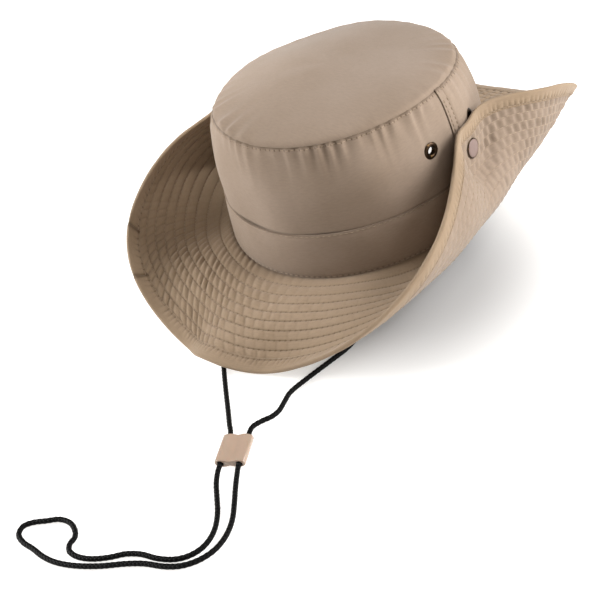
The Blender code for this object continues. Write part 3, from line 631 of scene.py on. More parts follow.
def drilled(piece, holes):
    """Cut round holes right through a piece; a hole is its middle, axis, radius and half
    length."""
    tools = []
    for centre, axis, radius, reach in holes:
        profile = [(0, -reach), (radius, -reach), (radius, reach), (0, reach)]
        tools.append(turned("hole", profile, centre, axis, 24))
    for tool in tools:
        cut = piece.modifiers.new("hole", "BOOLEAN")
        cut.operation = "DIFFERENCE"
        cut.solver = "EXACT"
        cut.object = tool
    bpy.context.view_layer.update()
    done = piece.evaluated_get(bpy.context.evaluated_depsgraph_get())
    mesh = bpy.data.meshes.new_from_object(done)
    piece.modifiers.clear()
    piece.data = mesh
    for tool in tools:
        bpy.data.objects.remove(tool)
    return piece


def stitches(name, lines):
    """Rows of thread stitches as one mesh. A line is a row of points on the cloth, their
    normals and their place along the cloth in metres; a stitch starts at each whole
    multiple of the pitch. Each is a three-sided thread of two lengths that dives into
    the cloth at both ends."""
    vertices = []
    faces = []
    count = 0
    pitch = STITCH + STITCH_GAP
    sides = np.array([
        (0, 1, 4, 3), (1, 2, 5, 4), (2, 0, 3, 5), (3, 4, 7, 6), (4, 5, 8, 7), (5, 3, 6, 8),
    ])
    ends = np.array([(2, 1, 0), (6, 7, 8)])
    for points, normals, along in lines:
        start = np.arange(math.ceil(along[0] / pitch), math.floor(along[-1] / pitch)) * pitch
        number = len(start)
        at = start[:, None] + np.array([0.0, 0.5, 1.0]) * STITCH
        place = np.stack([np.interp(at, along, points[:, c]) for c in range(3)], -1)
        up = np.stack([np.interp(at, along, normals[:, c]) for c in range(3)], -1)
        ahead = place[:, 2:] - place[:, :1]
        ahead = ahead / np.linalg.norm(ahead, axis=-1, keepdims=True)
        side = np.cross(up, ahead)
        lift = np.array([-0.9, 0.8, -0.9])[None, :, None] * THREAD
        ring = []
        for turn in np.radians([90.0, 210.0, 330.0]):
            high = lift + THREAD * math.sin(turn)
            ring.append(place + up * high + side * THREAD * math.cos(turn))
        grid = np.stack(ring, 2)
        vertices.append(grid.reshape(-1, 3))
        base = count + np.arange(number)[:, None] * 9
        faces.append((base[:, :, None] + sides[None]).reshape(-1, 4))
        faces.append((base[:, :, None] + ends[None]).reshape(-1, 3))
        count += number * 9
    return make_piece(name, np.concatenate(vertices) + SHIFT, faces)


# Materials

def linear(code):
    """Linear colour of an sRGB hex code."""
    parts = [int(code[i:i + 2], 16) / 255 for i in (0, 2, 4)]
    return tuple(p / 12.92 if p <= 0.04045 else ((p + 0.055) / 1.055) ** 2.4 for p in parts)


def add_node(tree, kind, settings=None, **inputs):
    """Add one node with its settings and its inputs; an input that is a socket is
    linked, any other one is a value. Spaces in input names are written as _."""
    node = tree.nodes.new(kind)
    for key, value in (settings or {}).items():
        setattr(node, key, value)
    for key, value in inputs.items():
        name = key.replace("_", " ")
        index = int(name[2:]) if name[:2] == "in" and name[2:].isdigit() else name
        if isinstance(value, bpy.types.NodeSocket):
            tree.links.new(value, node.inputs[index])
        else:
            node.inputs[index].default_value = value
    return node


def new_material(name, colour, roughness, metallic=0.0):
    """Material with one Principled shader, which is returned with its tree."""
    material = bpy.data.materials.new(name)
    material.use_nodes = True
    material.diffuse_color = (*colour, 1.0)
    tree = material.node_tree
    shader = tree.nodes["Principled BSDF"]
    shader.inputs["Base Color"].default_value = (*colour, 1.0)
    shader.inputs["Roughness"].default_value = roughness
    shader.inputs["Metallic"].default_value = metallic
    return material, tree, shader


def cotton_canvas(name, colour, painted_shade_colour):
    """Dyed cotton canvas: two sets of matt threads crossing at 0.7 mm, which is drawn coarser than
    the real 0.4 mm so that it shows, slubs where a thread is thicker, and a dye that is a little
    uneven. Shade is painted into its colour: in the grooves of the quilting and under the seams,
    where the shade attribute is low, the colour is mixed toward a dark painted-shade colour, and a
    needle hole is painted dark after each stitch along the seam attribute."""
    material, tree, shader = new_material(name, colour, 0.88)
    shader.inputs["Sheen Weight"].default_value = 0.15
    shader.inputs["Sheen Roughness"].default_value = 0.5
    shader.inputs["Specular IOR Level"].default_value = 0.25
    uv = add_node(tree, "ShaderNodeUVMap", {"uv_map": "cloth"}).outputs[0]
    place = add_node(tree, "ShaderNodeTexCoord").outputs["Object"]
    weave_scale = math.tau / 0.0007 / 20
    warp = add_node(tree, "ShaderNodeTexWave", {"bands_direction": "X"}, Vector=uv,
                    Scale=weave_scale, Distortion=0.6, Detail=1.0).outputs["Fac"]
    weft = add_node(tree, "ShaderNodeTexWave", {"bands_direction": "Y"}, Vector=uv,
                    Scale=weave_scale, Distortion=0.6, Detail=1.0).outputs["Fac"]
    weave = add_node(tree, "ShaderNodeMath", {"operation": "MAXIMUM"}, in0=warp, in1=weft)
    slub_uv = add_node(tree, "ShaderNodeMapping", Vector=uv, Scale=(260.0, 900.0, 1.0))
    slub = add_node(tree, "ShaderNodeTexNoise", Vector=slub_uv.outputs[0], Scale=1.0,
                    Detail=3.0, Roughness=0.6).outputs["Fac"]
    cloud = add_node(tree, "ShaderNodeTexNoise", Vector=place, Scale=22.0, Detail=4.0,
                     Roughness=0.55).outputs["Fac"]
    dark = tuple(c * f for c, f in zip(colour, (0.87, 0.85, 0.81)))
    ramp = add_node(tree, "ShaderNodeMapRange", Value=cloud, From_Min=0.32, From_Max=0.68)
    dye = add_node(tree, "ShaderNodeMix", {"data_type": "RGBA"}, Factor=ramp.outputs[0])
    dye.inputs["A"].default_value = (*dark, 1.0)
    dye.inputs["B"].default_value = (*colour, 1.0)
    fleck = add_node(tree, "ShaderNodeMapRange", Value=slub, From_Min=0.3, From_Max=0.7,
                     To_Min=0.94, To_Max=1.05)
    coat = add_node(tree, "ShaderNodeVectorMath", {"operation": "SCALE"},
                    Vector=dye.outputs["Result"], Scale=fleck.outputs[0])
    # Painted shade: where the shade attribute is low, in grooves and under seams, the colour is
    # mixed toward the dark shade colour
    shade = add_node(tree, "ShaderNodeAttribute", {"attribute_name": "shade"}).outputs["Fac"]
    seam = add_node(tree, "ShaderNodeAttribute", {"attribute_name": "seam"}).outputs["Fac"]
    # Painted shade in a needle hole after each stitch along the seam attribute
    along = add_node(tree, "ShaderNodeSeparateXYZ", Vector=uv).outputs["X"]
    beat = add_node(tree, "ShaderNodeMath", {"operation": "DIVIDE"}, in0=along,
                    in1=STITCH + STITCH_GAP).outputs[0]
    part = add_node(tree, "ShaderNodeMath", {"operation": "FRACT"}, in0=beat).outputs[0]
    middle = 1.0 - 0.5 * STITCH_GAP / (STITCH + STITCH_GAP)
    hole = add_node(tree, "ShaderNodeMath", {"operation": "COMPARE"}, in0=part, in1=middle,
                    in2=0.12).outputs[0]
    hole = add_node(tree, "ShaderNodeMath", {"operation": "MULTIPLY"}, in0=hole, in1=seam)
    keep = add_node(tree, "ShaderNodeMath", {"operation": "MULTIPLY_ADD"},
                    in0=hole.outputs[0], in1=-0.35, in2=1.0)
    open_cloth = add_node(tree, "ShaderNodeMath", {"operation": "MULTIPLY"}, in0=shade,
                          in1=keep.outputs[0])
    painted_shade_mix = add_node(tree, "ShaderNodeMix", {"data_type": "RGBA"},
                       Factor=open_cloth.outputs[0])
    painted_shade_mix.inputs["A"].default_value = (*painted_shade_colour, 1.0)
    tree.links.new(coat.outputs[0], painted_shade_mix.inputs["B"])
    tree.links.new(painted_shade_mix.outputs["Result"], shader.inputs["Base Color"])
    height = add_node(tree, "ShaderNodeMath", {"operation": "MULTIPLY_ADD"},
                      in0=slub, in1=0.6, in2=weave.outputs[0])
    bump = add_node(tree, "ShaderNodeBump", Strength=0.35, Distance=0.0002,
                    Height=height.outputs[0])
    tree.links.new(bump.outputs[0], shader.inputs["Normal"])
    return material


def cotton_thread(colour):
    """Twisted sewing thread: a shade off the cloth, with a faint painted sheen on its twist, made
    by lighter and darker fine spots in its colour.
    """
    material, tree, shader = new_material("cotton_sewing_thread", colour, 0.6)
    place = add_node(tree, "ShaderNodeTexCoord").outputs["Object"]
    # Painted sheen: the colour is made lighter and darker in fine spots along the twist
    twist = add_node(tree, "ShaderNodeTexNoise", Vector=place, Scale=1800.0).outputs["Fac"]
    tone = add_node(tree, "ShaderNodeMapRange", Value=twist, From_Min=0.3, From_Max=0.7,
                    To_Min=0.8, To_Max=1.1)
    coat = add_node(tree, "ShaderNodeVectorMath", {"operation": "SCALE"},
                    Vector=(*colour,), Scale=tone.outputs[0])
    tree.links.new(coat.outputs[0], shader.inputs["Base Color"])
    return material


def bronzed_brass(colour, glint):
    """Stamped brass with a dark bronze finish, which has rubbed back to brass in spots."""
    material, tree, shader = new_material("bronzed_brass", colour, 0.34, 0.9)
    place = add_node(tree, "ShaderNodeTexCoord").outputs["Object"]
    spots = add_node(tree, "ShaderNodeTexNoise", Vector=place, Scale=420.0, Detail=3.0)
    worn = add_node(tree, "ShaderNodeMapRange", Value=spots.outputs["Fac"], From_Min=0.56,
                    From_Max=0.72)
    coat = add_node(tree, "ShaderNodeMix", {"data_type": "RGBA"}, Factor=worn.outputs[0])
    coat.inputs["A"].default_value = (*colour, 1.0)
    coat.inputs["B"].default_value = (*glint, 1.0)
    tree.links.new(coat.outputs["Result"], shader.inputs["Base Color"])
    rough = add_node(tree, "ShaderNodeMapRange", Value=spots.outputs["Fac"], To_Min=0.28,
                     To_Max=0.48)
    tree.links.new(rough.outputs[0], shader.inputs["Roughness"])
    return material


def enamel(colour):
    """Sprayed enamel on a pressed cap: a smooth satin paint with a fine orange peel."""
    material, tree, shader = new_material("sprayed_enamel", colour, 0.42)
    shader.inputs["Coat Weight"].default_value = 0.15
    place = add_node(tree, "ShaderNodeTexCoord").outputs["Object"]
    peel = add_node(tree, "ShaderNodeTexNoise", Vector=place, Scale=900.0).outputs["Fac"]
    bump = add_node(tree, "ShaderNodeBump", Strength=0.2, Distance=0.00005, Height=peel)
    tree.links.new(bump.outputs[0], shader.inputs["Normal"])
    tone = add_node(tree, "ShaderNodeMapRange", Value=peel, To_Min=0.92, To_Max=1.06)
    coat = add_node(tree, "ShaderNodeVectorMath", {"operation": "SCALE"},
                    Vector=(*colour,), Scale=tone.outputs[0])
    tree.links.new(coat.outputs[0], shader.inputs["Base Color"])
    return material


def polyester_braid(colour):
    """Black round polyester braid, whose mesh has strands crossing on a pitch of 3 mm: the finer
    yarns on them are drawn at 1.6 mm, each with a faint painted sheen, and the gaps between them
    are painted darker as shade."""
    material, tree, shader = new_material("polyester_braid", colour, 0.55)
    shader.inputs["Specular IOR Level"].default_value = 0.12
    uv = add_node(tree, "ShaderNodeUVMap", {"uv_map": "cloth"}).outputs[0]
    yarn_scale = math.tau / 0.0016 / 20
    halves = []
    for lean in (1.0, -1.0):
        turned_uv = add_node(tree, "ShaderNodeMapping", Vector=uv,
                             Rotation=(0.0, 0.0, lean * 0.75))
        halves.append(add_node(tree, "ShaderNodeTexWave", {"bands_direction": "X"},
                               Vector=turned_uv.outputs[0], Scale=yarn_scale))
    strands = add_node(tree, "ShaderNodeMath", {"operation": "MULTIPLY"},
                       in0=halves[0].outputs["Fac"], in1=halves[1].outputs["Fac"])
    bump = add_node(tree, "ShaderNodeBump", Strength=0.8, Distance=0.0004,
                    Height=strands.outputs[0])
    tree.links.new(bump.outputs[0], shader.inputs["Normal"])
    # Painted sheen on the yarns and painted shade in the gaps between them
    tone = add_node(tree, "ShaderNodeMapRange", Value=strands.outputs[0], To_Min=0.5,
                    To_Max=1.6)
    coat = add_node(tree, "ShaderNodeVectorMath", {"operation": "SCALE"},
                    Vector=(*colour,), Scale=tone.outputs[0])
    tree.links.new(coat.outputs[0], shader.inputs["Base Color"])
    return material


def moulded_vinyl(colour):
    """Soft moulded vinyl: a satin skin with a faint grain from the mould."""
    material, tree, shader = new_material("moulded_vinyl", colour, 0.22)
    shader.inputs["Subsurface Weight"].default_value = 0.08
    shader.inputs["Subsurface Scale"].default_value = 0.001
    place = add_node(tree, "ShaderNodeTexCoord").outputs["Object"]
    grain = add_node(tree, "ShaderNodeTexNoise", Vector=place, Scale=1100.0, Detail=2.0)
    bump = add_node(tree, "ShaderNodeBump", Strength=0.25, Distance=0.0001,
                    Height=grain.outputs["Fac"])
    tree.links.new(bump.outputs[0], shader.inputs["Normal"])
    cloud = add_node(tree, "ShaderNodeTexNoise", Vector=place, Scale=120.0, Detail=2.0)
    tone = add_node(tree, "ShaderNodeMapRange", Value=cloud.outputs["Fac"], To_Min=0.9,
                    To_Max=1.08)
    coat = add_node(tree, "ShaderNodeVectorMath", {"operation": "SCALE"},
                    Vector=(*colour,), Scale=tone.outputs[0])
    tree.links.new(coat.outputs[0], shader.inputs["Base Color"])
    return material


def finish_piece(piece, material, slot, *nodes):
    """Give a piece its material, hang it on the hat's body and hide the CAD parts that it stands
    for.
    """
    piece.data.materials.clear()
    piece.data.materials.append(material)
    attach(piece, BODY)
    if nodes:
        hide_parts(*nodes)
    return piece


# Quilted brim

def quilt_rows():
    """Shares of the brim width where the stitch rows run."""
    step = np.arange(QUILT_COUNT) / (QUILT_COUNT - 1)
    return QUILT_FIRST + (QUILT_LAST - QUILT_FIRST) * step ** QUILT_CROWD


def strip_edges():
    """Shares where the strips between the stitch rows start and end, from under the
    band to under the hem."""
    return np.concatenate([[-0.02], quilt_rows(), [HEM_START + 0.012]])


def pucker_turns(place):
    """Turns of the pucker wave from the back of the hat to a place round it, one column
    for each strip: the sum of its steps, which are mostly the strip's own length, divided
    by the pucker length of the table, closed to a whole number. All strips are in step
    at one angle on the wearer's left, so that the puckers there change sides neatly."""
    fine = np.linspace(0.0, 1.0, 2001)
    theta = angle_at(fine)
    pitch = through(np.degrees(theta), QUILT_ROWS[:, 0], QUILT_ROWS[:, 1]) * 0.001
    edges = strip_edges()
    lines = brim(theta, np.clip(0.5 * (edges[1:] + edges[:-1]), 0.0, 1.0))
    steps = np.linalg.norm(np.diff(lines, axis=0), axis=2)
    own = (0.85 - 0.60 * gentle(np.degrees(theta), STEP_TURN, STEP_SPREAD))[1:, None]
    steps = own * steps + (1.0 - own) * BRIM_ROUND / (len(fine) - 1)
    turns = np.cumsum(steps / (0.5 * (pitch[1:] + pitch[:-1]))[:, None], 0)
    turns = np.concatenate([np.zeros((1, turns.shape[1])), turns])
    turns = turns * np.round(turns[-1]) / turns[-1]
    turns = turns - turns[np.argmin(np.abs(theta - math.radians(STEP_TURN)))]
    return np.stack([np.interp(place, fine, column) for column in turns.T], 1)


def strip_parts(share):
    """Which strip each share of the brim's width lies in, and how far across it."""
    edges = strip_edges()
    strip = np.clip(np.searchsorted(edges, share, side="right") - 1, 0, len(edges) - 2)
    part = np.clip((share - edges[strip]) / (edges[strip + 1] - edges[strip]), 0.0, 1.0)
    return strip, part


def quilting(place, share):
    """Heights and grooves of the quilted cloth. Between two stitch rows it stands up like
    the root of half a sine wave. Puckers run across each strip: broad ridges with narrow
    valleys, twice the size of a half sine less one, that lean across the strip and change
    sides from one strip to the next. The grooves are one on a stitch row."""
    strip, part = strip_parts(share)
    bow = np.sqrt(np.sin(math.pi * part) + 1e-9)
    degrees = np.degrees(angle_at(place))
    strong = through(degrees, QUILT_ROWS[:, 0], QUILT_ROWS[:, 2])[:, None]
    lean = through(degrees, QUILT_ROWS[:, 0], QUILT_ROWS[:, 3])[:, None]
    turn = math.tau * place[:, None]
    wander = 0.10 * ring_waves(turn, strip[None] * 2.3, 26.0, 0.7)
    turns = pucker_turns(place)[:, strip] + 0.5 * strip[None] + wander
    turns = turns - lean * (part - 0.5)[None]
    wave = 2.0 * np.abs(np.sin(math.pi * turns)) ** 1.1 - 1.0
    uneven = 0.85 + 0.30 * ring_waves(turn, strip[None] * 3.1, 34.0, 2.9)
    puckers = strong * wave * uneven * (np.sin(math.pi * part) ** 0.45)[None]
    metres = np.abs(share[:, None] - quilt_rows()[None]).min(1) * BRIM_WIDTH
    groove = np.ones_like(wave) * np.exp(-(metres / GROOVE) ** 2)[None]
    return bow[None] * np.ones_like(wave), puckers, groove


def soft_brim(place, share):
    """Middle of the brim cloth with its broad soft waves, which run across the brim and
    grow toward its edge, and its normals. They die out round both snaps."""
    theta = angle_at(place)
    middle = brim(theta, share)
    normal = grid_normals(middle, True)
    turn = theta[:, None]
    degrees = np.degrees(theta)
    calm = 1.0 - np.maximum(gentle(degrees, SNAP_TURN, 24.0), gentle(degrees, -SNAP_TURN, 24.0))
    reach = np.clip(share, 0.0, 1.0) ** 1.2
    wave = ring_waves(turn, share[None] * 1.6, 9.0, 4.4) * calm[:, None] * reach[None]
    return middle + normal * (SWAY * wave)[..., None], normal


def brim_layer(place, share, side):
    """Face of the upper (side 1) or under (side -1) brim cloth, with its normals, pucker
    heights and grooves: half the cloth's thickness, less the pillows' depth where they
    sink, plus the puckers. Puckers fade toward the crown. On the under cloth they are
    lower, and a ridge of the upper cloth is a valley there."""
    middle, normal = soft_brim(place, share)
    pillow, puckers, groove = quilting(place, share)
    if side > 0:
        puckers = puckers * (0.35 + 0.65 * smooth((share - 0.10) / 0.35))[None]
        rise = PUCKER
        degrees = np.degrees(angle_at(place))[:, None]
        sink = PILLOW * (1.0 + 0.7 * gentle(degrees, DEEP_TURN, DEEP_SPREAD))
    else:
        rise = PUCKER * (0.30 + 0.50 * smooth((share - 0.45) / 0.20))[None]
        sink = 0.4 * PILLOW
    height = BRIM_CLOTH / 2 - sink + sink * pillow + rise * puckers * side
    face = middle + normal * (side * height)[..., None]
    return face, normal * side, puckers * side, groove


def brim_piece(name, side):
    """Upper or under cloth of the brim as a closed shell over a plain back face in the middle of
    the brim. Shade is painted into it through the shade attribute: it is darker in the stitch rows,
    in the puckers' valleys, at the deepest quilting between the rows, and in a painted shadow where
    it meets the band."""
    columns, back_columns = BRIM_GRID
    place = np.arange(columns) / columns
    edges = strip_edges()
    share = (edges[:-1, None] + np.diff(edges)[:, None] * STRIP_PARTS).ravel()
    share = np.concatenate([[UNDER_BAND], share, edges[-1:]])
    face, _, puckers, groove = brim_layer(place, share, side)
    back_place = np.arange(back_columns) / back_columns
    back_share = np.linspace(UNDER_BAND, share[-1], 26)
    middle, normal = soft_brim(back_place, back_share)
    back = middle + normal * side * 0.00008
    width = share[-1] - share[0]
    keys = (place, (share - share[0]) / width)
    back_keys = (back_place, (back_share - share[0]) / width)
    u, v = np.meshgrid(place * BRIM_ROUND, share * BRIM_WIDTH, indexing="ij")
    degrees = np.degrees(angle_at(place))[:, None]
    sharp = 0.08 + 0.92 * gentle(degrees, 28.0, 52.0) if side > 0 else 0.05
    # Painted shade: darker in the grooves of the stitch rows and in the puckers' valleys
    shade = 1.0 - 0.18 * sharp * groove + 0.34 * np.clip(puckers, -1.2, 0.0)
    if side > 0:
        # Painted shade in the valleys between the rows where the quilting is deepest
        _, part = strip_parts(share)
        valley = 1.0 - np.sqrt(np.sin(math.pi * part))[None]
        shade = shade - 0.24 * gentle(degrees, DEEP_TURN, DEEP_SPREAD) * valley
    # Painted shadow along the foot of the band
    shade = shade * (1.0 - 0.5 * np.exp(-(np.clip(share, 0, 1) * BRIM_WIDTH / 0.0016) ** 2))
    seam = groove * sharp
    return shell(name, face, back, keys, back_keys, True, np.stack([u, v], -1), shade, seam)


def hem_grid(place):
    """Folded hem round the brim's edge: a closed section that lies on the brim's face,
    runs out to the edge, turns round it as half a circle and comes back on the other
    face. It is drawn in along its stitches, puckers between them and the inner edge, and
    steps up at two joins."""
    nose = HEM_HALF / BRIM_WIDTH
    flat = np.array([0.0, 0.03, 0.08, 0.14, 0.20, 0.27, 0.36, 0.48, 0.64, 0.82, 1.0])
    out = HEM_START + (1.0 - nose - HEM_START) * flat
    turn = np.radians(np.linspace(90.0, -90.0, 9)[1:-1])
    share = np.concatenate([out, 1.0 - nose + nose * np.cos(turn), out[::-1]])
    lift = np.concatenate([np.ones(11), np.sin(turn), -np.ones(11)])
    metres = (share - HEM_START) * BRIM_WIDTH
    edge = smooth(metres / 0.0006)
    stitched = np.exp(-((metres - HEM_STITCH) / 0.0006) ** 2)
    lines, which = np.unique(np.round(share, 7), return_inverse=True)
    middle = soft_brim(place, lines)[0][:, which]
    normal = soft_brim(place, np.array([HEM_START, 1.0 - nose]))[1]
    blend = np.clip((share - HEM_START) / (1.0 - nose - HEM_START), 0, 1)[None, :, None]
    normal = normal[:, :1] * (1 - blend) + normal[:, 1:] * blend
    normal = normal / np.linalg.norm(normal, axis=-1, keepdims=True)
    turn = math.tau * place[:, None]
    degrees = np.degrees(angle_at(place))
    strong = strength(degrees, 0.55, HEM_PLACES)
    wander = 0.12 * ring_waves(turn, 0.0, 60.0, 1.1)
    beat = place[:, None] * BRIM_ROUND / (STITCH + STITCH_GAP) + wander
    slant = 0.25 * lift[None] * metres[None] / 0.004
    ridge = 2.0 * np.abs(np.sin(math.pi * (beat + slant))) ** 0.8 - 1.3
    drawn = np.exp(-((metres - 0.0030) / 0.0022) ** 2) * edge
    uneven = ring_waves(turn, metres[None] * 250.0, 40.0, 1.3)
    ridge = ridge * strong[:, None] * (1.0 + 0.35 * uneven)
    puff = 0.00010 * uneven + HEM_PUCKER * ridge * drawn[None]
    joins = 0.0
    for angle in HEM_JOINS:
        step = (place - place_at(angle))[:, None] * BRIM_ROUND
        joins = joins + HEM_STEP * np.exp(-np.abs(step / 0.0020)) * np.sign(step)
    height = HEM_HALF * (0.62 + 0.38 * edge)[None] * lift[None]
    height = height - HEM_DIP * stitched[None] * lift[None]
    height = height + (puff + joins) * lift[None]
    # Painted shade: darker along the stitches, in the puckers' valleys, toward the inner edge and
    # at the joins
    shade = 1.0 - 0.22 * stitched[None] + 0.30 * np.clip(ridge, -1.2, 0.0) * drawn[None]
    shade = shade * (1.0 - 0.35 * (1.0 - edge))[None]
    shade = shade * (1.0 - 0.55 * np.clip(np.abs(joins) / 0.0003, 0, 1) ** 3)
    return middle + normal * height[..., None], shade, stitched * np.ones_like(shade)


def hem_piece():
    """The hem as one closed mesh: its sections joined round the brim."""
    place = np.arange(HEM_GRID) / HEM_GRID
    grid, shade, seam = hem_grid(place)
    n, m = grid.shape[:2]
    u, v = np.meshgrid(place * BRIM_ROUND, np.arange(m) * 0.0008, indexing="ij")
    uv = np.stack([u, v], -1).reshape(-1, 2)
    vertices = grid.reshape(-1, 3) + SHIFT
    faces = [grid_cells(n, m, True), closing_cells(n, m)]
    return make_piece("brim_hem", vertices, faces, uv, shade, seam)


# Crown

def gathers(theta, reach):
    """Gathers that hang from the top seam: sharpened waves of uneven length round the
    crown, strongest between the front and the wearer's left, which die out with the
    distance from the seam."""
    degrees = np.degrees(theta)
    strong = strength(degrees, 0.30, GATHER_PLACES)
    wander = 0.9 * ring_waves(theta, 0.0, 9.0, 0.4)
    wave = 1.0 - 2.0 * np.abs(np.cos(29.0 * theta + wander)) ** 1.5
    wave = wave + 0.5 * np.sin(67.0 * theta + 2.0 * wander)
    long = 0.0065 + 0.0045 * (1.0 + ring_waves(theta, 0.0, 14.0, 1.9))
    return strong * wave * np.exp(-(reach / np.maximum(long, 0.005)) ** 1.4)


def crown_face(theta, share):
    """Outer face of the crown wall cloth: the base shape with gathers under the top
    seam, broad upright drapes, and a top edge that rolls in to the seam."""
    theta, share = np.broadcast_arrays(theta, share)
    reach = (1.0 - share) * WALL_HEIGHT
    drape = DRAPE * ring_waves(theta, share * 2.2, 7.0, 3.3)
    drape = drape * np.clip(reach / 0.008, 0.3, 1.0)
    edge = np.clip(1.0 - reach / 0.0020, 0.0, 1.0)
    stitched = np.exp(-((reach - TOP_STITCH) / 0.0007) ** 2)
    out = drape + GATHER * gathers(theta, reach) - TOP_ROLL * edge ** 2 - 0.00022 * stitched
    return wall(theta, share, out)


def crown_panel(name, middle_degrees):
    """Half of the crown wall, from one side seam to the other, with a flange under the
    edge of the top panel. Its border at the seam is turned in on the front panel, and
    laps over it on the back panel."""
    front = middle_degrees == 0.0
    columns, back_columns = PANEL_GRID
    back_rows = 24
    theta = np.radians(np.linspace(middle_degrees - 90.0, middle_degrees + 90.0, columns))
    low = np.linspace(-0.005, 0.27, 6)
    high = 1.0 - np.linspace(0.72 ** 0.8, 0.0, 84) ** 1.25
    above = (BAND_HEIGHT + np.array([-0.0006, 0.0002, 0.0007, 0.0013])) / WALL_HEIGHT
    share = np.sort(np.concatenate([low, high, above]))
    face = crown_face(theta[:, None], share[None])
    lip = wall(theta, 1.0)[:, None]
    level, _ = outward(theta)
    lip = lip - level[:, None] * FLANGE - np.array([0.0, 0.0, FLANGE_DROP])
    face = np.concatenate([face, lip], 1)
    normal = -grid_normals(face, False)
    seam = (math.pi / 2 - np.abs(theta - math.radians(middle_degrees))) * TOP_HALF_WIDTH
    if front:
        lap = -0.0006 * np.clip(1.0 - seam / 0.0012, 0.0, 1.0)
    else:
        lap = 0.00045 * np.clip(1.0 - seam / SEAM_LAP, 0.0, 1.0) ** 0.3
        lap = lap - 0.0004 * np.exp(-((seam - SEAM_LAP - 0.0002) / 0.0006) ** 2)
    lap = lap - 0.00015 * np.exp(-((seam - SIDE_STITCHES[0]) / 0.0007) ** 2)
    face = face + normal * lap[:, None, None]
    back_turn = np.linspace(middle_degrees - 90.0, middle_degrees + 90.0, back_columns)
    back_theta = np.radians(back_turn)
    back_share = np.linspace(-0.005, 1.0, back_rows)
    back = wall(back_theta[:, None], back_share[None], -CLOTH)
    back[:, -1] = wall(back_theta, 1.0) - outward(back_theta)[0] * (FLANGE + 0.0002)
    back[:, -1, 2] -= 2 * FLANGE_DROP
    keys = (np.linspace(0, 1, columns), np.linspace(0, 1, face.shape[1]))
    back_keys = (np.linspace(0, 1, back_columns), np.linspace(0, 1, back_rows))
    heights = np.append(share, 1.02) * WALL_HEIGHT
    u, v = np.meshgrid(theta * BASE_HALF_WIDTH, heights, indexing="ij")
    reach = np.abs(1.0 - np.append(share, 1.0)) * WALL_HEIGHT
    valleys = np.clip(gathers(theta[:, None], reach[None]), -1.5, 0.0)
    # Painted shade: darker at the top seam, in the gathers' valleys and along the side seam, and a
    # painted shadow on the wall just above the band's top edge
    shade = 1.0 - 0.55 * np.exp(-(reach / 0.0011) ** 2)[None] + 0.16 * valleys
    shade = shade - 0.25 * np.exp(-(seam / 0.0006) ** 2)[:, None]
    above = (heights - BAND_HEIGHT - 0.0003) / 0.0006
    shade = shade - 0.38 * np.exp(-above ** 2)[None]
    stitched = 1.9 * np.exp(-((reach - TOP_STITCH) / 0.0006) ** 2)[None] * np.ones_like(shade)
    return shell(name, face, back, keys, back_keys, False, np.stack([u, v], -1), shade,
                 stitched)


def top_face(theta, radius):
    """Top panel: over a share of the top oval's radius it rises like a flattened
    half-ellipse, sags in a few soft hollows, and puckers toward the seam."""
    rim = wall(theta, 1.0)
    middle = np.array([0.0, -TOP_FORWARD, TOP_HEIGHT])
    rise = DOME_RISE * (1 - radius ** 2.6) ** 0.72
    x = radius * np.sin(theta)
    y = -radius * np.cos(theta)
    sag = TOP_SAG * waves(x * 2.6, y * 2.6, 0.9) * (1 - radius ** 4)
    reach = (1 - radius) * TOP_HALF_WIDTH
    degrees = np.degrees(theta)
    across = np.exp(-((radius - HOLLOW_RADIUS) / HOLLOW_REACH) ** 2)
    hollow = gentle(degrees, HOLLOW_TURN, HOLLOW_SPREAD) * across
    sag = sag - HOLLOW * hollow * (1 - radius ** 12)
    strong = strength(degrees, 0.10, TOP_PUCKER_PLACES)
    phase = 17.0 * theta + 0.8 * ring_waves(theta, 0.0, 8.0, 2.2)
    wave = 1.0 - 2.0 * np.abs(np.cos(phase)) ** 1.6
    pucker = TOP_PUCKER * strong * wave * np.exp(-(reach / 0.010) ** 1.4)
    pucker = pucker * np.clip(reach / 0.0015, 0.2, 1.0)
    edge = 0.0011 * np.clip(1.0 - reach / 0.0022, 0.0, 1.0) ** 2
    lift = rise + sag + pucker - edge + GAP + 0.0006
    points = middle + (rim - middle) * (radius * 0.9925)[..., None]
    return points + lift[..., None] * np.array([0.0, 0.0, 1.0])


def crown_top():
    """Top panel as a closed cap: a fine face and a plain back that meet at the rim, each
    closed by one point in its middle."""
    vertices = []
    faces = []
    uvs = []
    shades = []
    count = 0
    rims = []
    face_radii = 1.0 - np.linspace(1.0, 0.0, 58)[1:] ** 1.35
    back_radii = np.linspace(0.1, 0.985, 12)
    for columns, radii, drop in zip(TOP_GRID, (face_radii, back_radii), (0.0, CLOTH)):
        theta = np.arange(columns) * math.tau / columns
        grid = top_face(theta[:, None], radii[None]) - np.array([0.0, 0.0, drop])
        n, m = grid.shape[:2]
        pole = grid[:, 0].mean(axis=0)
        vertices += [grid.reshape(-1, 3), pole[None]]
        i = np.arange(n)
        faces.append(grid_cells(n, m, True, count))
        faces.append(np.stack([i * m, (i + 1) % n * m, np.full(n, n * m)], 1) + count)
        flat = (grid - np.array([0.0, -TOP_FORWARD, 0.0]))[..., :2]
        uvs += [flat.reshape(-1, 2), np.zeros((1, 2))]
        reach = (1 - radii) * TOP_HALF_WIDTH
        # Painted shade along the rim at the top seam
        shade = np.ones((n, 1)) - 0.12 * np.exp(-(reach / 0.0008) ** 2)[None]
        shades += [shade.ravel(), np.ones(1)]
        rims.append(np.append(i * m + m - 1, m - 1) + count)
        count += n * m + 1
    keys = [np.linspace(0, 1, columns + 1) for columns in TOP_GRID]
    faces.append(zipper(rims[0], rims[1], keys[0], keys[1]))
    shades = np.concatenate(shades)
    return make_piece("crown_top_cloth", np.concatenate(vertices) + SHIFT, faces,
                      np.concatenate(uvs), shades, 0.0 * shades)


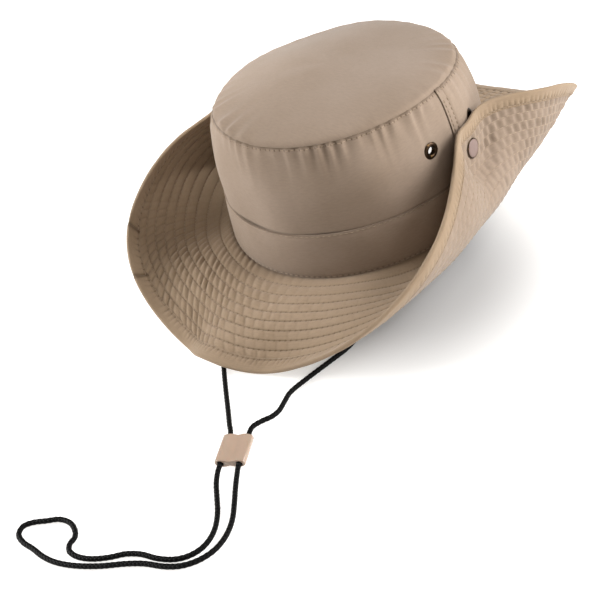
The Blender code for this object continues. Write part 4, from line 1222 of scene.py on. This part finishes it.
def band_face(theta, share):
    """Outer face of the band: it follows the wall, its folded edges are drawn in to the
    cloth behind them, a dip runs along each stitch row and broad drapes cross it."""
    theta, share = np.broadcast_arrays(theta, share)
    height = share * WALL_HEIGHT
    edge = np.minimum(height, BAND_HEIGHT - height)
    roll = -0.0006 * np.clip(1.0 - edge / 0.0008, 0.0, 1.0) ** 2
    stitched = -0.00026 * np.exp(-((edge - BAND_STITCH) / 0.0007) ** 2)
    puff = 0.00030 * np.sin(math.pi * np.clip(height / BAND_HEIGHT, 0, 1)) ** 0.7
    drape = BAND_DRAPE * ring_waves(theta, share * 4.0, 11.0, 5.1)
    drape = drape * np.clip(edge / 0.006, 0.25, 1.0)
    return wall(theta, share, GAP + BAND_CLOTH + roll + stitched + puff + drape)


def band_piece():
    """The band as a closed shell over a plain back face on the wall, with its rows close together
    at both edges. Shade is painted along its stitches and at its folded edges."""
    columns, back_columns = BAND_GRID
    rows = 34
    back_rows = 4
    top = BAND_HEIGHT / WALL_HEIGHT
    theta = np.arange(columns) * math.tau / columns
    rise = np.linspace(-1.0, 1.0, rows)
    share = top * 0.5 * (1.0 + np.sign(rise) * (1.0 - (1.0 - np.abs(rise)) ** 1.8))
    share[0] -= 0.004
    face = band_face(theta[:, None], share[None])
    back_theta = np.arange(back_columns) * math.tau / back_columns
    back_share = np.linspace(share[0], top, back_rows)
    back = wall(back_theta[:, None], back_share[None], GAP)
    keys = (np.arange(columns) / columns, np.linspace(0, 1, rows))
    back_keys = (np.arange(back_columns) / back_columns, np.linspace(0, 1, back_rows))
    u, v = np.meshgrid(theta * BASE_HALF_WIDTH, share * WALL_HEIGHT, indexing="ij")
    edge = np.minimum(v, BAND_HEIGHT - v)
    seam = np.exp(-((v - BAND_STITCH) / 0.0006) ** 2)
    # Painted shade along the stitch rows and at the folded edges
    shade = (1.0 - 0.18 * seam) * (1.0 - 0.55 * np.exp(-(np.maximum(edge, 0) / 0.0005) ** 2))
    return shell("hat_band_cloth", face, back, keys, back_keys, True,
                 np.stack([u, v], -1), shade, seam)


# Cord

def cord_points():
    """The cord's whole way through the slider, as in the part's frame, in metres."""
    centre, along, across = slider_frame()
    centre = centre * 1000
    half = SLIDER_LENGTH * 500 + 1.0
    spread = CHANNEL_SPREAD * 1000
    inward = [centre - along * half - across * spread, centre + along * half - across * spread]
    back = [centre + along * half + across * spread, centre - along * half + across * spread]
    way = list(CORD_TO_SLIDER) + [tuple(p) for p in inward] + list(CORD_LOOP)
    way += [tuple(p) for p in back] + list(CORD_FROM_SLIDER)
    return np.array(way) * 0.001 + FLOOR_SHIFT


def slider_frame():
    """Middle of the slider, and the directions along and across its channels."""
    turn = math.radians(SLIDER_TURN)
    along = np.array([math.cos(turn), math.sin(turn), 0.0])
    across = np.array([-math.sin(turn), math.cos(turn), 0.0])
    centre = np.array([SLIDER_AT[0], SLIDER_AT[1], SLIDER_THICK / 2])
    return centre, along, across


def smooth_way(points, step):
    """Even points along the smooth curve through a row of points."""
    reach = np.linalg.norm(np.diff(points, axis=0), axis=1)
    key = np.concatenate([[0.0], np.cumsum(reach)])
    fine = np.linspace(0.0, key[-1], 8 * len(points))
    curve = np.stack([through(fine, key, points[:, c]) for c in range(3)], 1)
    along = np.concatenate([[0.0], np.cumsum(np.linalg.norm(np.diff(curve, axis=0), axis=1))])
    count = int(along[-1] / step) + 1
    at = np.linspace(0.0, along[-1], count)
    way = np.stack([np.interp(at, along, curve[:, c]) for c in range(3)], 1)
    return way, along[-1]


def tube(name, grid, ends, uv=None):
    """Piece from rings that stand one behind the other, with a point at each end that
    closes it. The UVs are those of the rings' points."""
    n, m = grid.shape[:2]
    i = np.arange(n - 1)[:, None]
    k = np.arange(m)[None]
    q = (k + 1) % m
    cells = np.stack([i * m + k, i * m + q, (i + 1) * m + q, (i + 1) * m + k], -1).reshape(-1, 4)
    last_ring = (n - 1) * m
    first = np.stack([np.full(m, n * m), q[0], k[0]], 1)
    last = np.stack([np.full(m, n * m + 1), k[0] + last_ring, q[0] + last_ring], 1)
    if uv is not None:
        uv = np.concatenate([uv.reshape(-1, 2), np.zeros((2, 2))])
    vertices = np.concatenate([grid.reshape(-1, 3), ends])
    return make_piece(name, vertices, [cells, first, last], uv)


def braid_tube(way, radius, sides):
    """Tube along a way, with two families of strands that cross on it: its radius is a
    product of two slanted waves. Each ring stands square to the way, with its first
    spoke as level as the way lets it."""
    ahead = np.gradient(way, axis=0)
    ahead = ahead / np.linalg.norm(ahead, axis=1, keepdims=True)
    side = np.cross(ahead, np.array([0.03, 0.02, 1.0]))
    side = side / np.linalg.norm(side, axis=1, keepdims=True)
    up = np.cross(side, ahead)
    steps = np.linalg.norm(np.diff(way, axis=0), axis=1)
    along = np.concatenate([[0.0], np.cumsum(steps)])
    turn = np.arange(sides) * math.tau / sides
    beat = along[:, None] * math.tau / (2 * BRAID_PITCH)
    strands = np.abs(np.sin(2 * turn[None] + beat)) * np.abs(np.sin(2 * turn[None] - beat))
    r = radius * (0.93 + 0.12 * strands)
    spoke = np.cos(turn)[None, :, None] * side[:, None] + np.sin(turn)[None, :, None] * up[:, None]
    grid = way[:, None] + spoke * r[..., None]
    u, v = np.meshgrid(along, turn * radius, indexing="ij")
    return tube("chin_cord_braid", grid, way[[0, -1]], np.stack([u, v], -1))


def slider_piece():
    """Flat sleeve moulded round two channels: its outline is a superellipse that is drawn
    in to a waist between the channels, and its ends are rounded over."""
    centre, along, across = slider_frame()
    centre = centre + FLOOR_SHIFT
    turn = np.arange(72) * math.tau / 72
    x = np.sign(np.cos(turn)) * np.abs(np.cos(turn)) ** SLIDER_SQUARE
    z = np.sign(np.sin(turn)) * np.abs(np.sin(turn)) ** SLIDER_SQUARE
    waist = 1.0 - SLIDER_WAIST * np.exp(-(x * SLIDER_WIDTH / 2 / 0.0026) ** 2)
    section = (x[:, None] * across * SLIDER_WIDTH / 2
               + (z * waist)[:, None] * np.array([0.0, 0.0, SLIDER_THICK / 2]))
    bend = np.linspace(0.0, math.pi / 2, 6)
    reach = 0.5 * SLIDER_LENGTH - SLIDER_ROUNDING * (1 - np.sin(bend))
    scale = 1.0 - SLIDER_ROUNDING / (SLIDER_THICK / 2) * (1 - np.cos(bend))
    place = np.concatenate([-reach[::-1], reach])
    size = np.concatenate([scale[::-1], scale])
    grid = centre + place[:, None, None] * along + section[None] * size[:, None, None]
    body = tube("cord_slider_sleeve", grid, centre + along * place[[0, -1], None])
    holes = []
    for side in (-1.0, 1.0):
        place = centre + across * side * CHANNEL_SPREAD - SHIFT
        holes.append((place, along, CHANNEL_RADIUS, SLIDER_LENGTH))
    return drilled(body, holes)


# Settings

class HatColours(bpy.types.PropertyGroup):
    """Colours of the hat's materials."""

    canvas: bpy.props.FloatVectorProperty(
        name="Canvas", description="Dyed cotton canvas of the crown, band and brim",
        default=linear("958373"), subtype="COLOR", min=0.0, max=1.0)
    # Painted bounce light: the brim's canvas is a warmer copy of the crown's canvas, standing in
    # for warm light bounced onto the brim from the crown
    brim: bpy.props.FloatVectorProperty(
        name="Brim canvas", description="The brim's canvas, from a warmer dye lot",
        default=linear("99846D"), subtype="COLOR", min=0.0, max=1.0)
    # Painted shade: the dark colour that the canvas is mixed toward in its grooves, under its seams
    # and at its needle holes
    painted_shade_colour: bpy.props.FloatVectorProperty(
        name="Deep canvas", description="The canvas where its dye stays deep in a groove",
        default=linear("3E2C18"), subtype="COLOR", min=0.0, max=1.0)
    thread: bpy.props.FloatVectorProperty(
        name="Thread", description="Sewing thread", default=linear("A18D76"),
        subtype="COLOR", min=0.0, max=1.0)
    bronze: bpy.props.FloatVectorProperty(
        name="Bronze", description="Dark finish of the eyelets and snap rims",
        default=linear("3E3024"), subtype="COLOR", min=0.0, max=1.0)
    brass: bpy.props.FloatVectorProperty(
        name="Brass", description="Brass where the dark finish has rubbed off",
        default=linear("765B38"), subtype="COLOR", min=0.0, max=1.0)
    enamel: bpy.props.FloatVectorProperty(
        name="Enamel", description="Painted faces of the snap caps",
        default=linear("78625A"), subtype="COLOR", min=0.0, max=1.0)
    cord: bpy.props.FloatVectorProperty(
        name="Cord", description="Braided chin cord", default=linear("060606"),
        subtype="COLOR", min=0.0, max=1.0)
    slider: bpy.props.FloatVectorProperty(
        name="Slider", description="Moulded sleeve on the cord", default=linear("AC9583"),
        subtype="COLOR", min=0.0, max=1.0)


class HatStage(bpy.types.PropertyGroup):
    """Camera and lights."""

    azimuth: bpy.props.FloatProperty(
        name="Camera azimuth", description="Turn of the camera from the front toward +X",
        default=math.radians(42.0), subtype="ANGLE")
    elevation: bpy.props.FloatProperty(
        name="Camera elevation", description="Height angle of the camera",
        default=math.radians(31.8), subtype="ANGLE")
    roll: bpy.props.FloatProperty(
        name="Camera roll", description="Turn of the picture round the line of sight",
        default=math.radians(-13.1), subtype="ANGLE")
    distance: bpy.props.FloatProperty(
        name="Camera distance", description="From the camera to the middle of the hat",
        default=0.8, unit="LENGTH")
    right_power: bpy.props.FloatProperty(
        name="Right light", description="Power of the light at the picture's right",
        default=23.5, unit="POWER")
    snoot_power: bpy.props.FloatProperty(
        name="Snoot light", description="Power of the narrow light on the brim at the left",
        default=42.0, unit="POWER")
    over_power: bpy.props.FloatProperty(
        name="Over light", description="Power of the light above the picture's right",
        default=4.0, unit="POWER")
    left_power: bpy.props.FloatProperty(
        name="Left light", description="Power of the low light at the picture's left",
        default=24.0, unit="POWER")
    # The floor's glow, left out in a spot that is a painted shadow
    glow: bpy.props.FloatProperty(
        name="Floor glow", description="Light of the paper away from the hat's shade",
        default=0.9)
    world: bpy.props.FloatProperty(
        name="Room light", description="Strength of the even light from all round",
        default=0.17)


def get_material(name, maker, *facts):
    """The material of that name, made when it is first asked for."""
    return bpy.data.materials.get(name) or maker(*facts)


def canvas_material(name="crown_cotton_canvas"):
    """Canvas of the crown, or of the brim when that is the name."""
    colours = bpy.context.scene.hat_colours
    dye = colours.brim if name == "brim_cotton_canvas" else colours.canvas
    return get_material(name, cotton_canvas, name, tuple(dye), tuple(colours.painted_shade_colour))


def thread_material():
    """Thread of all the stitches."""
    return get_material("cotton_sewing_thread", cotton_thread,
                        tuple(bpy.context.scene.hat_colours.thread))


def bronze_material():
    """Metal of the eyelets and the snaps."""
    colours = bpy.context.scene.hat_colours
    return get_material("bronzed_brass", bronzed_brass, tuple(colours.bronze),
                        tuple(colours.brass))


# Stage

def direction(azimuth, elevation):
    """Unit vector from the hat toward an azimuth, counted from the front toward +X, and
    a height angle."""
    level = math.cos(elevation)
    return Vector((math.sin(azimuth) * level, -math.cos(azimuth) * level, math.sin(elevation)))


def lay_floor(brightness):
    """Square of white paper whose glow makes it even round the hat, apart from a painted shadow: a
    spot where the glow is left out. The glow grows with a smooth step from the middle of that
    painted shadow outward."""
    corners = np.array([(-1, -1, 0), (1, -1, 0), (1, 1, 0), (-1, 1, 0)], float) * FLOOR_HALF
    floor = make_piece("floor", corners - np.array([0, 0, 0.0001]),
                       [np.array([[0, 1, 2, 3]])], flat=True)
    paper, tree, shader = new_material("lit_white_paper", linear("BCBCBC"), 0.9)
    place = add_node(tree, "ShaderNodeTexCoord").outputs["Object"]
    away = add_node(tree, "ShaderNodeVectorMath", {"operation": "DISTANCE"}, in0=place,
                    in1=SHADE_AT)
    glow = add_node(tree, "ShaderNodeMapRange", {"interpolation_type": "SMOOTHSTEP"},
                    Value=away.outputs["Value"], From_Min=SHADE_INNER,
                    From_Max=SHADE_OUTER, To_Max=brightness)
    shader.inputs["Emission Color"].default_value = (1.0, 0.98, 0.95, 1.0)
    tree.links.new(glow.outputs[0], shader.inputs["Emission Strength"])
    floor.data.materials.append(paper)


def place_camera(scene, stage):
    """Camera that looks at the target along its azimuth and height angle, rolled round
    its line of sight and shifted so that the line meets its pixel."""
    back = direction(stage.azimuth, stage.elevation)
    right = Vector((math.cos(stage.azimuth), math.sin(stage.azimuth), 0.0))
    up = back.cross(right)
    side = right * math.cos(stage.roll) + up * math.sin(stage.roll)
    high = -right * math.sin(stage.roll) + up * math.cos(stage.roll)
    camera = bpy.data.objects.new("camera", bpy.data.cameras.new("camera"))
    scene.collection.objects.link(camera)
    turn = Matrix((side, high, back)).transposed()
    camera.matrix_world = Matrix.Translation(TARGET + back * stage.distance) @ turn.to_4x4()
    camera.data.sensor_width = SENSOR
    camera.data.lens = FOCAL / PICTURE * SENSOR
    camera.data.shift_x = -(LINE_OF_SIGHT[0] - PICTURE / 2) / PICTURE
    camera.data.shift_y = -(PICTURE / 2 - LINE_OF_SIGHT[1]) / PICTURE
    camera.data.clip_start = 0.05
    scene.camera = camera


def hang_lamp(scene, name, kind, target, way, distance, power):
    """Lamp at a distance from its target along a way, shining back on the target."""
    lamp = bpy.data.objects.new(name, bpy.data.lights.new(name, kind))
    lamp.data.energy = power
    lamp.location = target + way * distance
    lamp.rotation_euler = (-way).to_track_quat("-Z", "Y").to_euler()
    scene.collection.objects.link(lamp)
    return lamp


def light_room(scene, stage):
    """Even light from all round, the area lights, and a narrow light for the brim at the
    picture's left."""
    world = bpy.data.worlds.new("room")
    world.use_nodes = True
    world.node_tree.nodes["Background"].inputs[0].default_value = (1.0, 0.94, 0.88, 1.0)
    world.node_tree.nodes["Background"].inputs[1].default_value = stage.world
    scene.world = world
    powers = (stage.right_power, stage.over_power, stage.left_power)
    for (name, azimuth, elevation, distance, size), power in zip(LAMPS, powers):
        way = direction(math.radians(azimuth), math.radians(elevation))
        lamp = hang_lamp(scene, name, "AREA", TARGET, way, distance, power)
        lamp.data.size = size
    snoot = hang_lamp(scene, "snoot", "SPOT", SNOOT_TARGET, SNOOT_WAY.normalized(),
                      SNOOT_DISTANCE, stage.snoot_power)
    snoot.data.spot_size = math.radians(SNOOT_SPREAD)
    snoot.data.spot_blend = 1.0
    snoot.data.shadow_soft_size = SNOOT_RADIUS


# Operators

class HAT_OT_crown(bpy.types.Operator):
    """Build the two wall panels and the top panel of the crown"""

    bl_idname = "hat.crown"
    bl_label = "Crown"

    def execute(self, context):
        holes = {"front": [], "back": []}
        for side in (1.0, -1.0):
            for turn, panel in ((90 - EYELET_TURN, "front"), (90 + EYELET_TURN, "back")):
                here, axis = wall_frame(side * turn, EYELET_HEIGHT)
                holes[panel].append((here, axis, EYELET_CUT, CUT_REACH))
        for name, middle, key in (("crown_front_cloth", 0.0, "front"),
                                  ("crown_back_cloth", 180.0, "back")):
            piece = drilled(crown_panel(name, middle), holes[key])
            finish_piece(piece, canvas_material(), "canvas", "crown_%s_panel" % key)
        finish_piece(crown_top(), canvas_material(), "canvas", "crown_top")
        return {"FINISHED"}


class HAT_OT_band(bpy.types.Operator):
    """Build the band round the foot of the crown"""

    bl_idname = "hat.band"
    bl_label = "Band"

    def execute(self, context):
        finish_piece(band_piece(), canvas_material(), "canvas", "hat_band")
        return {"FINISHED"}


class HAT_OT_brim(bpy.types.Operator):
    """Build the two quilted cloths of the brim and its hem"""

    bl_idname = "hat.brim"
    bl_label = "Brim"

    def execute(self, context):
        brim_canvas = canvas_material("brim_cotton_canvas")
        finish_piece(brim_piece("brim_upper_cloth", 1.0), brim_canvas, "canvas", "brim")
        finish_piece(brim_piece("brim_under_cloth", -1.0), canvas_material(), "canvas", "brim")
        finish_piece(hem_piece(), brim_canvas, "canvas", "brim_binding")
        return {"FINISHED"}


class HAT_OT_stitching(bpy.types.Operator):
    """Sew the stitch rows of the brim, hem, band and crown"""

    bl_idname = "hat.stitching"
    bl_label = "Stitching"

    def execute(self, context):
        place = np.linspace(0.0, 1.0, 1601)[:-1]
        along = place * BRIM_ROUND
        for name, side in (("quilt_stitches_upper", 1.0), ("quilt_stitches_under", -1.0)):
            face, normal, _, _ = brim_layer(place, quilt_rows(), side)
            lines = [(face[:, k], normal[:, k], along) for k in range(QUILT_COUNT)]
            share = HEM_START + (HEM_STITCH + np.array([-0.001, 0.0, 0.001])) / BRIM_WIDTH
            middle, normal = soft_brim(place, share)
            edge = middle[:, 1] + normal[:, 1] * side * (HEM_HALF - HEM_DIP)
            lines.append((edge, normal[:, 1] * side, along))
            finish_piece(stitches(name, lines), thread_material(), "canvas")
        theta = np.linspace(0.0, math.tau, 1201)
        along = theta * BASE_HALF_WIDTH
        lines = []
        for edge in (BAND_STITCH, BAND_HEIGHT - BAND_TOP_THREAD):
            share = np.array([-0.01, 0.0, 0.01]) + edge / WALL_HEIGHT
            grid = band_face(theta[:, None], share[None])
            lines.append((grid[:, 1], -grid_normals(grid, False)[:, 1], along))
        share = np.array([-0.01, 0.0, 0.01]) + 1.0 - TOP_STITCH / WALL_HEIGHT
        grid = crown_face(theta[:, None], share[None])
        lines.append((grid[:, 1], -grid_normals(grid, False)[:, 1], along))
        for side in (1.0, -1.0):
            for away in SIDE_STITCHES:
                turn = side * (math.pi / 2 + away / TOP_HALF_WIDTH)
                near = turn + np.array([-0.01, 0.0, 0.01])
                high = np.linspace(0.36, 0.955, 60)
                grid = crown_face(near[:, None], high[None])
                normal = -grid_normals(grid, False)[1]
                lines.append((grid[1] + normal * 0.0004, normal, high * WALL_HEIGHT))
        finish_piece(stitches("crown_stitches", lines), thread_material(), "canvas")
        return {"FINISHED"}


class HAT_OT_eyelets(bpy.types.Operator):
    """Build the four vent eyelets"""

    bl_idname = "hat.eyelets"
    bl_label = "Eyelets"

    def execute(self, context):
        # Radius and height in millimetres: the rim, its barrel and the washer inside
        profile = rounded([
            (2.6, -2.3), (2.6, 0.7), (3.3, 1.15), (4.7, 0.95), (5.5, 0.15), (5.3, -0.1),
            (3.2, -0.1), (3.2, -2.0), (4.8, -2.0), (4.8, -2.3), (2.7, -2.3),
        ], 0.5) * 0.001
        for side, word in ((1.0, "left"), (-1.0, "right")):
            for turn, end in ((90 - EYELET_TURN, "front"), (90 + EYELET_TURN, "back")):
                here, axis = wall_frame(side * turn, EYELET_HEIGHT)
                ring = turned("eyelet_ring_%s_%s" % (word, end), profile, here, axis, 40, True)
                finish_piece(ring, bronze_material(), "eyelet_metal",
                             "eyelet_%s_%s" % (word, end))
        return {"FINISHED"}


class HAT_OT_snaps(bpy.types.Operator):
    """Build the snap caps on the brim and the studs on the crown"""

    bl_idname = "hat.snaps"
    bl_label = "Snaps"

    def execute(self, context):
        colours = context.scene.hat_colours
        paint = get_material("sprayed_enamel", enamel, tuple(colours.enamel))
        # Profiles of radius and height in millimetres, counted from the crown's face
        outer = SNAP_STAND * 1000 + BRIM_CLOTH * 500
        rim = rounded([
            (0, outer + 0.1), (6.3, outer + 0.1), (6.55, outer + 0.4), (6.2, outer + 0.85),
            (5.7, outer + 0.75), (0, outer + 0.7),
        ], 0.3) * 0.001
        face = np.array([(0, outer + 0.5), (5.8, outer + 0.5)]
                        + [(5.8 * math.cos(a), outer + 0.75 + 0.75 * math.sin(a))
                           for a in np.linspace(0.0, 1.45, 10)]
                        + [(0, outer + 1.5)]) * 0.001
        cup = rounded([
            (0, 2.3), (2.3, 2.3), (2.3, 1.2), (4.4, 1.2), (4.6, outer - 2.3), (1.6, outer - 2.2),
            (1.6, outer + 0.3), (0, outer + 0.3),
        ], 0.3) * 0.001
        stud = rounded([
            (0, 2.0), (1.5, 2.0), (1.9, 1.5), (1.5, 0.95), (4.4, 0.9), (4.4, 0.1), (1.5, 0.1),
            (1.5, -1.8), (4.6, -1.9), (4.6, -2.3), (0, -2.35),
        ], 0.25) * 0.001
        for side, word in ((1.0, "left"), (-1.0, "right")):
            here, axis = wall_frame(side * SNAP_TURN, SNAP_HEIGHT)
            for kind, profile, material, slot in (
                    ("snap_cap_rim", rim, bronze_material(), "snap_metal"),
                    ("snap_cap_face", face, paint, "snap_enamel"),
                    ("snap_cup", cup, bronze_material(), "snap_metal"),
                    ("snap_post", stud, bronze_material(), "snap_metal")):
                piece = turned("%s_%s" % (kind, word), profile, here, axis, 48)
                node = "snap_stud_%s" if kind == "snap_post" else "snap_cap_%s"
                finish_piece(piece, material, slot, node % word)
        return {"FINISHED"}


class HAT_OT_cord(bpy.types.Operator):
    """Lay the chin cord with its slider"""

    bl_idname = "hat.cord"
    bl_label = "Chin cord"

    def execute(self, context):
        colours = context.scene.hat_colours
        way, length = smooth_way(cord_points(), 0.0008)
        braid = polyester_braid(tuple(colours.cord))
        cord = finish_piece(braid_tube(way, CORD_RADIUS, 14), braid, "cord_braid", "chin_cord")
        vinyl = moulded_vinyl(tuple(colours.slider))
        sleeve = finish_piece(slider_piece(), vinyl, "slider_plastic", "cord_slider")
        return {"FINISHED"}


class HAT_OT_stage(bpy.types.Operator):
    """Set the floor, the camera and the studio lights"""

    bl_idname = "hat.stage"
    bl_label = "Stage"

    def execute(self, context):
        stage = context.scene.hat_stage
        lay_floor(stage.glow)
        place_camera(context.scene, stage)
        light_room(context.scene, stage)
        context.scene.view_settings.view_transform = "Standard"
        return {"FINISHED"}


class HAT_PT_panel(bpy.types.Panel):
    """Settings and building steps of the hat"""

    bl_idname = "HAT_PT_panel"
    bl_label = "Safari hat"
    bl_space_type = "VIEW_3D"
    bl_region_type = "UI"
    bl_category = "Hat"

    def draw(self, context):
        for group in (context.scene.hat_colours, context.scene.hat_stage):
            for name in group.bl_rna.properties.keys():
                if name not in ("rna_type", "name"):
                    self.layout.prop(group, name)
        for step in STEPS:
            self.layout.operator("hat." + step)


STEPS = ("stage", "cord", "crown", "band", "brim", "stitching", "eyelets", "snaps")
CLASSES = (
    HatColours, HatStage, HAT_OT_stage, HAT_OT_cord, HAT_OT_crown, HAT_OT_band,
    HAT_OT_brim, HAT_OT_stitching, HAT_OT_eyelets, HAT_OT_snaps, HAT_PT_panel,
)


def register():
    """Make the classes and the settings known to the program."""
    for cls in CLASSES:
        bpy.utils.register_class(cls)
    bpy.types.Scene.hat_colours = bpy.props.PointerProperty(type=HatColours)
    bpy.types.Scene.hat_stage = bpy.props.PointerProperty(type=HatStage)


def unregister():
    """Take the settings and the classes away again."""
    del bpy.types.Scene.hat_stage
    del bpy.types.Scene.hat_colours
    for cls in reversed(CLASSES):
        bpy.utils.unregister_class(cls)


def main():
    """Build the hat step by step."""
    register()
    for step in STEPS:
        getattr(bpy.ops.hat, step)()


if __name__ == "__main__":
    main()
